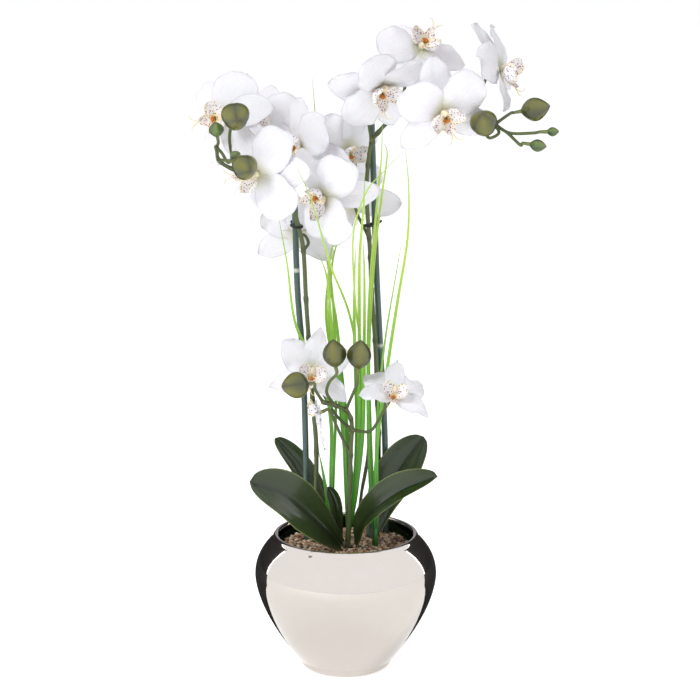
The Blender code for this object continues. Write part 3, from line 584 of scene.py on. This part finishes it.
def piece(name: str, surfaces: Sequence[Surface], finish: Finish) -> bpy.types.Object:
    """Joins surfaces into the object that stands for CAD node name.

    Args:
        name: The CAD node's name.
        surfaces: Closed surfaces in mm.
        finish: Its finish.

    Returns:
        The object, declared to the frame.
    """
    starts = np.cumsum([0] + [len(s.points) for s in surfaces[:-1]])
    quads = np.concatenate([s.quads + start for s, start in zip(surfaces, starts)])
    triangles = np.concatenate([s.triangles + start for s, start in zip(surfaces, starts)])
    mesh = bpy.data.meshes.new(name + "_look")
    points = np.concatenate([s.points for s in surfaces]) * MM
    mesh.from_pydata(points.tolist(), [], quads.tolist() + triangles.tolist())
    paint = mesh.attributes.new("paint", "FLOAT_COLOR", "POINT")
    paint.data.foreach_set("color", np.concatenate([s.paint for s in surfaces]).ravel())
    place = np.concatenate([s.place for s in surfaces])
    place = np.column_stack([place, np.repeat(np.arange(len(surfaces)) * 7.3,
                                              [len(s.points) for s in surfaces])])
    mark = mesh.attributes.new("place", "FLOAT_VECTOR", "POINT")
    mark.data.foreach_set("vector", place.ravel())
    mesh.materials.append(dressed(finish))
    mesh.shade_smooth()
    obj = bpy.data.objects.new(name + "_look", mesh)
    bpy.context.scene.collection.objects.link(obj)
    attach(obj, "root")
    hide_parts(name)
    LOG.info("%s: %d faces", name, len(mesh.polygons))
    return obj


# ------------------------------------------------------------------ flowers
@dataclass(frozen=True)
class Lobe:
    """A kind of lobe. Its cup is drawn between two parts of its half width; the rest is in mm."""

    length: float
    half: float
    bow: float
    cup: tuple[float, float]
    ripple: float
    lift: float                  # how far in front of the heart it starts


@dataclass(frozen=True)
class Outline:
    """How a flower's lobes are cut: powers of petals and sepals, parts of width and ripple."""

    petal: tuple[float, float]
    sepal: tuple[float, float]
    width: float
    ripple: float


BROAD = Lobe(40.32, 18.0, 3.0, (-0.16, -0.04), 2.0, 0.9)
SLIM = Lobe(43.2, 12.9, 2.0, (-0.2, 0.05), 1.2, -0.4)
ROUND = Outline((0.66, 0.46), (0.6, 0.58), 1.0, 1.0)
STAR = Outline((0.75, 0.8), (0.7, 0.9), 0.84, 1.9)


@dataclass
class Flower:
    """One flower: five lobes around a heart, and a lip with its column, callus and tendrils."""

    name: str
    heart: Sequence[float]
    angles: Sequence[float]
    leans: Sequence[float]
    size: float = 1.0
    lip_roll: float = 0.0
    opened: float = 1.0
    columns: int = 19
    rows: int = 34
    facing: Points = field(init=False)
    dorsal: Points = field(init=False)
    right: Points = field(init=False)
    noise: np.random.Generator = field(init=False)

    def __post_init__(self) -> None:
        """Works out the flower's axes from its yaw, pitch and roll."""
        yaw, pitch, roll = np.radians(self.angles)
        level = math.cos(pitch)
        self.facing = np.array([math.sin(yaw) * level, -math.cos(yaw) * level, math.sin(pitch)])
        right = np.array([math.cos(yaw), math.sin(yaw), 0.0])
        self.dorsal = math.cos(roll) * np.cross(self.facing, right) - math.sin(roll) * right
        self.right = np.cross(self.dorsal, self.facing)
        self.noise = np.random.default_rng(ord(self.name))

    def world(self, surface: Surface, turn: float = 0.0, shift: Sequence[float] = (0, 0, 0)) -> Surface:
        """Moves a surface from the flower's frame to the world's.

        Args:
            surface: A surface whose axes are the flower's right, dorsal and facing.
            turn: Turn about its facing after the shift, in radians.
            shift: Shift in mm.

        Returns:
            The same surface, moved.
        """
        c, s = math.cos(turn), math.sin(turn)
        points = (surface.points + np.asarray(shift)) @ np.array([[c, -s, 0], [s, c, 0], [0, 0, 1]])
        axes = np.array([self.right, self.dorsal, self.facing])
        surface.points = np.asarray(self.heart) + self.size * points @ axes
        return surface

    def lobe(self, angle: float, length: float, half: float, lean: float, shape: tuple[float, float],
             bow: float, cup: float, ripple: float, colours: tuple[str, str], speckled: bool = False,
             lift: float = 0.0) -> Surface:
        """One lobe: a sheet whose half width is half * s^a (1 - s)^b over its greatest value.

        Its face rises by a bow along its length, a cup that grows with t^2, a ripple along its
        edges and a shallow groove down its middle.

        Args:
            angle: Degrees clockwise from the dorsal sepal.
            length: Length in mm.
            half: Half width in mm.
            lean: Degrees that it bends forwards.
            shape: The powers a and b.
            bow: Rise of its middle in mm.
            cup: Rise of its edges as a part of its half width.
            ripple: Height of the waves on its edges in mm.
            colours: Hex at its base and over the rest.
            speckled: Whether the print covers it.
            lift: How far in front of the heart it starts, in mm.

        Returns:
            The lobe in the flower's frame.
        """
        a, b = shape
        s = 0.5 - 0.5 * np.cos(np.linspace(0.08, 1.0, self.rows) * math.pi)
        t = spread(self.columns)
        peak = a / (a + b)
        width = half * s**a * np.maximum(1 - s, 1e-5)**b / (peak**a * (1 - peak)**b)
        width = np.maximum(width, NECK_HALF_WIDTH * bell(s, NECK_END)) + 0.02
        turn, rise = math.radians(angle), math.radians(lean)
        out = np.array([math.sin(turn) * math.cos(rise), math.cos(turn) * math.cos(rise), math.sin(rise)])
        side = np.array([math.cos(turn), -math.sin(turn), 0.0])
        up = np.cross(side, out)
        phase = self.noise.uniform(0, math.tau, 4)
        arch = bow * np.sin(math.pi * s) - 1.2 * bow * s**4
        centre = length * s[:, None] * out + arch[:, None] * up + np.array([0.0, 0.0, lift])
        swing = (0.035 * length * np.sin(2.6 * s + phase[0]) * s * (1 - s) * 4)[:, None]
        wave = np.sin(math.tau * 1.7 * s[:, None] + phase[1] + 1.4 * np.sign(t))
        wave += 0.6 * np.sin(math.tau * 3.4 * s[:, None] + phase[2] - np.sign(t))
        surface_rise = (cup * width[:, None] * t**2 + ripple * wave * np.abs(t)**2.2 * s[:, None]
                        - GROOVE_DEPTH * bell(t, GROOVE_WIDTH) * np.sin(math.pi * s)[:, None]
                        + 0.25 * np.sin(5 * t + phase[3]) * np.sin(math.pi * s)[:, None])
        paint = mixed(colours[0], colours[1], (s[:, None] - 0.06 + 0.06 * t**2) / THROAT_END)
        # Edge tint: on the lip it is the lip's own yellow edge; on petals and sepals the lilac-grey edge is
        # painted shade, outlining lobes where they overlap.
        start, edge_yellow_and_shade_amount, edge = (0.72, 0.55, "#EADC92") if speckled else (0.9, 0.45, "#B9B4BE")
        rim = edge_yellow_and_shade_amount * np.clip((np.abs(t) - start) / (1 - start), 0, 1)[None, :, None]
        paint = tinted(paint, edge, rim)
        if speckled:
            paint[..., 3] = np.clip(1.5 - 1.6 * np.abs(s[:, None] - 0.5) + 0 * t, 0.0, 1.0)
        count = len(s)
        return sheet(centre + swing * side, np.broadcast_to(side, (count, 3)),
                     np.broadcast_to(up, (count, 3)), width, surface_rise, np.full(count, FABRIC), paint)

    def bloom(self) -> bpy.types.Object:
        """Three sepals behind two broad petals, and the small green heart they grow from.

        Returns:
            The piece, declared to the frame.
        """
        slim = self.opened**0.5
        cut = STAR if self.name in STARRY else ROUND
        surfaces = []
        for angle, lean in zip((0, PETAL_ANGLE, -PETAL_ANGLE, SEPAL_ANGLE, -SEPAL_ANGLE), self.leans):
            broad = abs(angle) == PETAL_ANGLE
            kind = BROAD if broad else SLIM
            grown = self.opened if angle else 1.0       # the dorsal sepal is always full grown
            surfaces.append(self.lobe(
                angle, grown * kind.length, cut.width * slim * kind.half, lean,
                cut.petal if broad else cut.sepal, slim * kind.bow, self.noise.uniform(*kind.cup),
                cut.ripple * kind.ripple, ("#E2E1C0", "#FBFAFD"), lift=kind.lift))
        surfaces.append(tube(np.array([[0, 0, -2.2], [0, 0, -0.5], [0, 0, 1.2]]), (2.2, 3.4, 2.6), 16,
                             linear("#C9CE8E")))
        return piece(f"bloom_{self.name}", [self.world(s) for s in surfaces], PETAL)

    def lip(self) -> bpy.types.Object:
        """Two speckled side lobes, a narrow middle lobe with tendrils, an orange callus and a column.

        Returns:
            The piece, declared to the frame.
        """
        turn = -math.radians(self.lip_roll)
        plain = np.array([1, 1, 1, 0])      # no print
        parts = [self.lobe(angle, self.opened * length, *rest, speckled=True)
                 for angle, length, *rest in LIP_LOBES]
        s = np.linspace(0.0, 1.0, 13)
        tip = TENDRIL_REACH * self.opened
        for side in (1, -1):
            curl = np.stack([side * (0.6 + 6.5 * s**1.2), -tip * math.cos(0.5) - 5 * np.sin(2.4 * s),
                             tip * math.sin(0.5) + 3.5 * s + 2 * s**2], axis=1)
            parts.append(tube(curl, TENDRIL_RADIUS - TENDRIL_TAPER * s, 8,
                              mixed("#F0E2B0", "#E9D9A0", s) * plain))
        turn_round = around(14)
        bead = ball(np.linspace(0.12, math.pi - 0.12, 9), turn_round) * CALLUS + CALLUS_PLACE
        bead[..., 0] *= 1 + 0.2 * np.cos(2 * turn_round)
        parts.append(closed(bead, np.array(linear("#C96F0A")) * plain))
        rise = np.linspace(0, 1, 9)
        column = np.stack([0 * rise, 4.6 + 2.4 * rise, -1.2 + 8.0 * rise - 1.6 * rise**3], axis=1)
        skin = mixed("#F4EEF0", "#F7E9C8", rise)
        parts.append(tube(column, 1.9 + 0.9 * np.sin(2.6 * rise), 14, skin * (1, 1, 1, 0.35)))
        surfaces = [self.world(part, turn, LIP_PLACE) for part in parts]
        return piece(f"lip_{self.name}", surfaces, LIP)

    def landing(self) -> tuple[Points, Points]:
        """Where its pedicel ends and the direction it arrives in."""
        return np.asarray(self.heart) - 2.2 * self.facing, self.facing


@dataclass
class Bud:
    """A closed bud: an egg of three folded sepals that meet in shallow seams."""

    name: str
    middle: Sequence[float]
    direction: Sequence[float]
    length: float
    diameter: float
    ridge: float = 0.05
    seam: float = 0.03

    def build(self) -> bpy.types.Object:
        """Its radius is the egg's, times one plus a ridge of cos 3a, less a narrow seam between them.

        Returns:
            The piece, declared to the frame.
        """
        axis = unit(np.array(self.direction, float))
        side = unit(np.cross(axis, (0.31, 0.52, 0.79)))
        other = np.cross(axis, side)
        part = 0.5 - 0.5 * np.cos(np.linspace(0.06, math.pi - 0.05, 30))
        turn = around(48)
        belly = np.sin(math.pi * part**0.9)**0.8
        furrow = bell(np.cos(1.5 * turn), 0.16)
        shape = 1 + self.ridge * np.cos(3 * turn) - self.seam * furrow * np.sin(math.pi * part)[:, None]
        radius = 0.5 * self.diameter * belly[:, None] * shape
        rings = (np.asarray(self.middle) + ((part - 0.5) * self.length)[:, None, None] * axis
                 + (radius * np.cos(turn))[..., None] * side + (radius * np.sin(turn))[..., None] * other)
        small = self.diameter < SMALL_BUD
        body = mixed("#3E5A22" if small else "#3B4313", "#6E8434" if small else "#72721A",
                     0.75 * part[:, None] + 0.35 * np.cos(3 * turn))
        edge = np.clip(furrow * 0.5 + np.clip(part[:, None] - 0.86, 0, 1) * 5, 0, 1)[..., None]
        paint = tinted(body, "#33291E", edge)
        place = np.stack([np.broadcast_to(turn * 3, radius.shape),
                          np.broadcast_to((part * self.length)[:, None], radius.shape)], axis=-1)
        return piece(self.name, [closed(rings, paint, place)], BUD)

    def landing(self) -> tuple[Points, Points]:
        """Where its pedicel ends and the direction it arrives in."""
        axis = unit(np.array(self.direction, float))
        return np.asarray(self.middle) - (self.length / 2 - 0.6) * axis, axis


# ------------------------------------------------------------------ stems, stakes and ties
@dataclass
class Stem:
    """A flower stem with swollen nodes, its bracts and side branches."""

    name: str
    route: Sequence[Sequence[float]]
    branches: Sequence[tuple]
    carried: dict[str, Flower | Bud]
    node_rise: float = 0.55
    node_length: float = 2.2

    def build(self) -> bpy.types.Object:
        """The main tube swells at each node by a bell curve; each pedicel widens towards its flower.

        Returns:
            The piece, declared to the frame.
        """
        count = 12 * len(self.route)
        path = smooth(self.route, count)
        gone = np.linspace(0, 1, count)
        knots = path[:, 2][None] - np.array([[point[2]] for point in self.route[3:]])
        swell = bell(knots, self.node_length).max(axis=0)
        radii = STEM_RADIUS * (1 - 0.28 * gone) + self.node_rise * swell
        paint = mixed("#4F5A2A", "#5E6C34", gone) * (1 - 0.35 * swell[:, None])
        surfaces = [tube(path, radii, 18, paint)]
        for start, way, target in self.branches:
            end, direction = self.carried[target].landing()
            points = [self.route[start], *way, end - 6.0 * direction, end]
            line = smooth(points, 9 * len(points))
            s = np.linspace(0, 1, len(line))
            wide = PEDICEL_RADIUS * (1 + 0.35 * bell(s, 0.08) + 0.3 * np.clip(s * 4 - 3, 0, 1))
            surfaces.append(tube(line, wide, 14, mixed("#4E5C2A", "#7E8C48", s**2)))
            surfaces.append(self.bract(line))
        return piece(self.name, surfaces, STEM)

    def bract(self, line: Points) -> Surface:
        """A small pointed scale that hugs the foot of a side branch: its width falls as sqrt(1 - s).

        Args:
            line: The branch's centre line.

        Returns:
            The scale.
        """
        foot = smooth(line[:4], 8)
        across, normal = frames(foot, (0.1, -1.0, 0.2))
        s = np.linspace(0, 1, 8)
        t = spread(7)
        half = 1.9 * np.sqrt(np.clip(1 - s, 0, 1)) + 0.05
        rise = 1.7 - 0.8 * t[None]**2 + 0.3 * s[:, None]
        paint = mixed("#7A7A3C", "#4E4A2A", s[:, None] + 0 * t)
        return sheet(foot, across, normal, half, rise, np.full(8, FABRIC), paint)


@dataclass
class Stake:
    """A support stake with a pale joint band and a rounded top."""

    name: str
    route: Sequence
    bands: Sequence[float]

    def build(self) -> bpy.types.Object:
        """A straight tube: its coat thickens a little and pales at each band."""
        path = smooth(self.route, 260)
        band = np.exp(-((path[:, 2:3] - np.array([self.bands])) / 1.4)**4).max(axis=1)
        paint = mixed("#3E5A50", "#D8DCD0", band)
        return piece(self.name, [tube(path, STAKE_RADIUS + 0.12 * band, 24, paint)], STAKE)


@dataclass
class Tie:
    """A twist tie: wire wound twice around a stake and the stem beside it, its ends twisted."""

    name: str
    first: Sequence[float]
    second: Sequence[float]
    wire: float = 0.62
    slack: float = 0.3
    tail: float = 5.0
    tail_wire: float = 0.5
    twist: float = 0.6

    def build(self) -> bpy.types.Object:
        """The winding is a stadium around both rods that climbs; the tails are two thin helices.

        Returns:
            The piece, declared to the frame.
        """
        first, second = np.array(self.first, float), np.array(self.second, float)
        reach = STAKE_RADIUS + self.slack + self.wire
        along = unit(second - first)
        side = np.array([-along[1], along[0], 0.0])
        turn = np.linspace(math.pi, 5 * math.pi, 130)
        swing = np.clip(6 * np.cos(turn), -1, 1)[:, None] * 0.5 + 0.5
        loop = first + swing * (second - first)
        loop = loop + reach * (np.cos(turn)[:, None] * along + np.sin(turn)[:, None] * side)
        loop[:, 2] += np.linspace(-0.9, 0.9, len(turn))
        black = linear("#141414")
        parts = [tube(loop, self.wire, 10, black)]
        s = np.linspace(0, 1, 40)
        for phase in (0.0, math.pi):
            wind = self.twist * np.stack([np.cos(14 * s + phase), np.sin(14 * s + phase)], axis=1)
            tail = first - along * (reach + self.tail * s)[:, None] + wind[:, :1] * side
            tail[:, 2] += wind[:, 1] + 1.2 * s
            parts.append(tube(tail, self.tail_wire, 8, black))
        return piece(self.name, parts, WIRE)


# ------------------------------------------------------------------ leaves and grass
@dataclass
class Leaf:
    """A thick strap leaf: folded along its midrib, with a pale margin and a purple-grey underside."""

    name: str
    route: Sequence
    width: float
    fold: float
    face: Sequence[float]

    def build(self) -> bpy.types.Object:
        """Its face rises from the midrib by the fold times t^1.4 of the half width.

        Returns:
            The piece, declared to the frame.
        """
        count = 60
        path = smooth(self.route, count)
        s = np.linspace(0, 1, count)
        t = spread(25)
        across, normal = frames(path, self.face)
        taper = np.minimum(0.22 + 1.5 * s, 1.0) - 0.06 * bell(s - 0.52, 0.12)
        half = 0.5 * LEAF_SPREAD * self.width * np.maximum(taper * np.sqrt(np.clip(1 - s**3.5, 0, 1)), 0.02)
        rise = (0.7 * self.fold * half[:, None] * np.abs(t)**1.4 - 0.5 * bell(t, 0.07)
                + 0.9 * np.sin(7 * s[:, None] + 2 * t) * t**2 + 0.25 * np.sin(9 * t) * (1 - t**2))
        margin = np.clip((np.abs(t) - 0.95) / 0.05, 0, 1)[:, None]
        green = mixed("#1E2E0C", "#35451C", np.abs(t) * 0.8 + 0.2 * np.sin(3 * s[:, None]))
        front = tinted(green, "#8C9A50", margin) * (1 - 0.45 * bell(t, 0.05)[:, None])
        rear = mixed("#6E6A5C", "#55603A", np.abs(t) + 0 * s[:, None])
        return piece(self.name, [sheet(path, across, normal, half, rise, LEAF_THICKNESS * (1 - 0.5 * s),
                                       front, rear)], LEAF)


@dataclass
class Tuft:
    """A tuft of grass: long folded blades from one crown."""

    name: str
    crown: Sequence[float]
    blades: Sequence

    def build(self) -> bpy.types.Object:
        """Each blade's face is a V: it rises by a third of the half width times |t|.

        Returns:
            The piece, declared to the frame.
        """
        crown = np.array(self.crown, float)
        surfaces = [tube(crown + np.array([[0, 0, 1], [0, 0, 6], [0, 0, 13]]), (2.6, 2.2, 1.5), 14,
                         mixed("#2C6A1C", "#3C9A28", np.array([0, 0.5, 1.0])))]
        t = spread(9)
        for route, width in self.blades:
            path = smooth([crown + (0.0, 0.0, 4.0), *route], 12 * len(route))
            s = np.linspace(0, 1, len(path))
            across, normal = frames(path, (0.1, -1.0, 0.2))
            half = 0.5 * width * np.maximum(1 - 0.97 * s**3, 0.03)
            rise = 0.35 * half[:, None] * np.abs(t) + 0.06 * np.cos(9 * t)
            height = np.clip((path[:, 2] - 110) / 230, 0, 1)[:, None]
            paint = mixed("#2C8A20", "#7CC838", height * 2) * (height < 0.5)[..., None]
            paint = paint + mixed("#7CC838", "#BCE25A", height * 2 - 1) * (height >= 0.5)[..., None]
            paint = paint * (1 - 0.18 * bell(t, 0.2))[None, :, None]
            surfaces.append(sheet(path, across, normal, half, rise, np.full(len(s), BLADE_THICKNESS),
                                  paint))
        return piece(self.name, surfaces, BLADE)


# ------------------------------------------------------------------ pot and pebbles
@dataclass
class Pot:
    """The round silver-glazed pot: an ellipse-like shoulder above its belly, a cone below."""

    sides: int = 160

    def profile(self) -> Points:
        """Radius and height from the foot's edge up the outside, over the lip and down the inside.

        Returns:
            Rows of radius and height in mm.
        """
        lip = POT_WALL / 2
        lip_height = POT_HEIGHT - lip
        height = np.linspace(POT_FOOT_EDGE, lip_height, 90)
        upper = np.clip((height - POT_BELLY_HEIGHT) / (lip_height - POT_BELLY_HEIGHT), 0, 1)
        lower = np.clip((POT_BELLY_HEIGHT - height) / (POT_BELLY_HEIGHT - POT_FOOT_EDGE), 0, 1)
        radius = (POT_BELLY_RADIUS - (POT_BELLY_RADIUS - POT_LIP_RADIUS - lip) * upper**2.1
                  - (POT_BELLY_RADIUS - POT_FOOT_RADIUS - POT_FOOT_EDGE) * lower**1.65)
        turn = np.radians(np.linspace(90, 10, 10))
        corner = np.stack([POT_FOOT_RADIUS + POT_FOOT_EDGE * np.cos(turn),
                           POT_FOOT_EDGE - POT_FOOT_EDGE * np.sin(turn)], axis=1)
        over = np.radians(np.linspace(12, 168, 18))
        edge = np.stack([POT_LIP_RADIUS + lip * np.cos(over), lip_height + lip * np.sin(over)], axis=1)
        outside = np.stack([radius, height], axis=1)
        inside = np.stack([radius - POT_WALL, height], axis=1)[::-1][:-8]
        return np.concatenate([[[1.0, 0.0], [20.0, 0.0]], corner, outside, edge, inside,
                               [[20.0, POT_FLOOR], [1.0, POT_FLOOR]]])

    def build(self) -> bpy.types.Object:
        """The profile turned about the pot's axis."""
        return piece("pot", [closed(lathed(self.profile(), self.sides), linear("#C4BEB7"))], GLAZE)


@dataclass
class PebbleBed:
    """Loose small river pebbles over a base painted dark brown as the shade between them."""

    spacing: float = 2.9
    seed: int = 7
    sides: int = 60
    reach: float = POT_LIP_RADIUS - POT_WALL / 2 - 0.6
    row: float = 0.866           # rows of a triangular grid are this part of the spacing apart
    rod_gap: float = 3.4         # how far the stones' middles keep from the rods' axes
    stone: tuple[float, float, float] = (1.9, 1.55, 1.2)
    colours: tuple[str, ...] = ("#EAD6B8", "#C89C74", "#8A6242", "#4A3424", "#DDBB94", "#A97E58")

    def base(self) -> Surface:
        """The layer under the stones, a little lower at its edge; its dark brown is painted shade in the gaps
        between them.
        """
        top = BED_TOP - 0.8
        profile = np.array([[0.02, BED_BOTTOM], [1, BED_BOTTOM], [1, BED_TOP - 2.4],
                            [0.9, BED_TOP - 1.2], [0.5, top], [0.02, top]])
        # Painted shade: the dark brown that shows in the gaps between the stones.
        return closed(lathed(profile * (self.reach, 1.0), self.sides), linear("#3A2A1E"))

    def spots(self, noise: np.random.Generator) -> Points:
        """Where the stones lie: a jittered triangular grid, clear of the rim and of the rods.

        Args:
            noise: The bed's random numbers.

        Returns:
            Places on the bed in mm, shape (stones, 2).
        """
        steps = np.arange(-self.reach, self.reach, self.spacing)
        x, y = np.meshgrid(steps, steps * self.row)
        x = x + 0.5 * self.spacing * (np.arange(len(steps)) % 2)[:, None]
        spots = np.stack([x.ravel(), y.ravel()], axis=1)
        spots = np.concatenate([spots, spots[np.abs(spots[:, 1]) < 3] + (0, self.reach * self.row)])
        spots = spots + noise.uniform(-0.8, 0.8, spots.shape)
        spots = spots[np.hypot(*spots.T) < self.reach - 1.8]
        rods = [route[-1][:2] for route in STAKES.values()] + [route[0][:2] for route in STEMS.values()]
        near = np.linalg.norm(spots[:, None] - np.array(rods)[None], axis=2).min(axis=1)
        return spots[near > self.rod_gap]

    def build(self) -> bpy.types.Object:
        """Stones are flattened balls, each tipped, spun, set at its own level and coloured at random.

        Returns:
            The piece, declared to the frame.
        """
        noise = np.random.default_rng(self.seed)
        surfaces = [self.base()]
        stone = ball(np.linspace(0.35, math.pi - 0.35, 4), around(8))
        for place in self.spots(noise):
            axes = noise.uniform(0.85, 1.3, 3) * self.stone
            tilt, spin = noise.uniform(-0.5, 0.5), noise.uniform(0, math.tau)
            tipped = stone * axes @ np.array([[1, 0, 0], [0, math.cos(tilt), math.sin(tilt)],
                                             [0, -math.sin(tilt), math.cos(tilt)]])
            turned = tipped @ np.array([[math.cos(spin), math.sin(spin), 0],
                                        [-math.sin(spin), math.cos(spin), 0], [0, 0, 1]])
            level = BED_TOP - 0.9 + noise.uniform(0, 1.5)
            tone = np.array(linear(self.colours[noise.integers(len(self.colours))]))
            surfaces.append(closed(turned + (*place, level), tone * noise.uniform(0.75, 1.25)))
        return piece("pebble_bed", surfaces, STONE)


# ------------------------------------------------------------------ studio
@dataclass
class Studio:
    """Pale paper floor, soft lights, cards seen only in reflections, and the camera, in metres."""

    camera_place: tuple[float, float, float] = (0.0035, -2.55, 0.8925)
    camera_down: float = 13.78
    lens: float = 167.4
    floor: float = 8.0
    front: float = -3.2          # where the lit cards begin
    across: float = 2.0          # half width of the front card and the ceiling
    side: float = 1.9            # how far out the side cards and the dark cards reach
    back: float = 1.0            # where the dark cards stand behind the plant
    join: float = 0.1            # how far before them the side cards end
    gap: float = 0.3             # half the gap between the two dark cards
    dark_top: float = 1.4
    lit_top: float = 3.0
    ceiling: float = 2.6

    def plane(self, name: str, corners: Sequence[Sequence[float]], finish: Finish) -> bpy.types.Object:
        """A flat stage piece.

        Args:
            name: Its name.
            corners: Its corners in order.
            finish: Its finish.

        Returns:
            The object.
        """
        mesh = bpy.data.meshes.new(name)
        mesh.from_pydata([tuple(corner) for corner in corners], [], [tuple(range(len(corners)))])
        mesh.materials.append(dressed(finish))
        obj = bpy.data.objects.new(name, mesh)
        bpy.context.scene.collection.objects.link(obj)
        return obj

    def card(self, name: str, corners: Sequence[Sequence[float]], finish: Finish) -> None:
        """A plane that is left in mirror reflections and taken out of the view and the light."""
        card = self.plane(name, corners, finish)
        card.visible_camera = card.visible_diffuse = card.visible_shadow = False
        card.visible_transmission = False

    def upright(self, name: str, start: Sequence[float], end: Sequence[float], top: float,
                finish: Finish) -> None:
        """An upright card whose lower edge runs on the floor from start to end."""
        self.card(name, [(*start, 0), (*end, 0), (*end, top), (*start, top)], finish)

    def light(self, name: str, place: Sequence[float], size: float, power: float,
              target: Sequence[float]) -> None:
        """A square soft light.

        Args:
            name: Its name.
            place: Where it hangs.
            size: Its width.
            power: Its power in watts.
            target: Where it aims.
        """
        data = bpy.data.lights.new(name, "AREA")
        data.size, data.energy = size, power
        obj = bpy.data.objects.new(name, data)
        obj.location = place
        aim = np.subtract(place, target)
        obj.rotation_euler = (math.acos(aim[2] / np.linalg.norm(aim)), 0, math.atan2(aim[0], -aim[1]))
        obj.visible_glossy = False      # its square would show in the mirror glaze
        bpy.context.scene.collection.objects.link(obj)

    def reflections(self) -> None:
        """Puts lit cards in front and dark ones behind, with a bright edge where they meet."""
        x, y, join = self.across, self.front, self.back - self.join
        self.upright("card_front", (-x, y), (x, y), self.lit_top, LIT_CARD)
        self.card("card_ceiling", [(-x, y, self.ceiling), (x, y, self.ceiling), (x, 0.7, self.ceiling),
                                   (-x, 0.7, self.ceiling)], LIT_CARD)
        for side in (-1, 1):
            near, far = side * self.gap, side * self.side
            self.upright(f"card_back_{side}", (near, self.back), (far, self.back), self.dark_top,
                         DARK_CARD)
            shape = ((side * 0.02, 0.02), (near, 0.09), (far, join), (far, self.back), (near, self.back))
            self.card(f"card_floor_{side}", [(*corner, 0.002) for corner in shape], DARK_CARD)
            self.upright(f"card_side_{side}", (far, self.front), (far, join), self.lit_top, LIT_CARD)
            self.upright(f"strip_{side}", (far, self.back - 0.09), (far, self.back), self.dark_top, STRIP)

    def camera(self) -> None:
        """Sets the camera up before the plant, looking down at it."""
        data = bpy.data.cameras.new("camera")
        data.lens, data.sensor_width = self.lens, 36.0
        camera = bpy.data.objects.new("camera", data)
        camera.location = self.camera_place
        camera.rotation_euler = (math.radians(90 - self.camera_down), 0, 0)
        bpy.context.scene.collection.objects.link(camera)
        bpy.context.scene.camera = camera

    def build(self) -> None:
        """Sets up the floor, cards, lights, world and camera."""
        x = self.floor
        self.plane("floor", [(-x, -x, 0), (x, -x, 0), (x, x, 0), (-x, x, 0)], FLOOR)
        self.reflections()
        self.light("key", (-1.2, -1.5, 1.9), 0.8, 29, (0, 0, 0.3))
        self.light("fill", (1.9, -1.0, 0.9), 1.2, 5, (0, 0, 0.3))
        self.light("top", (0.2, 0.7, 2.4), 1.2, 14, (0, 0, 0.2))
        bpy.context.scene.view_settings.view_transform = "Standard"
        world = bpy.data.worlds.new("pale studio")
        world.use_nodes = True
        background = world.node_tree.nodes["Background"]
        background.inputs["Color"].default_value = linear("#F3F3F6")
        background.inputs["Strength"].default_value = 0.45
        bpy.context.scene.world = world
        self.camera()


def main() -> None:
    """Builds the studio, then every piece in order."""
    logging.basicConfig(level=logging.INFO, format="%(name)s: %(message)s")
    Studio().build()
    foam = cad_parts["foam_plug"]
    foam.data.materials.clear()
    foam.data.materials.append(dressed(FOAM))
    flowers = [Flower(*row) for row in FLOWERS]
    buds = [Bud(*row) for row in BUDS]
    carried = {plant.name: plant for plant in [*flowers, *buds]}
    Pot().build()
    PebbleBed().build()
    for name, route in STAKES.items():
        Stake(name, route, STAKE_BANDS[name]).build()
    for name, route in STEMS.items():
        Stem(name, route, BRANCHES[name], carried).build()
    for row in TIES:
        Tie(*row).build()
    for row in LEAVES:
        Leaf(*row).build()
    for row in TUFTS:
        Tuft(*row).build()
    for flower in flowers:
        flower.bloom()
        flower.lip()
    for bud in buds:
        bud.build()


if __name__ == "__main__":
    main()
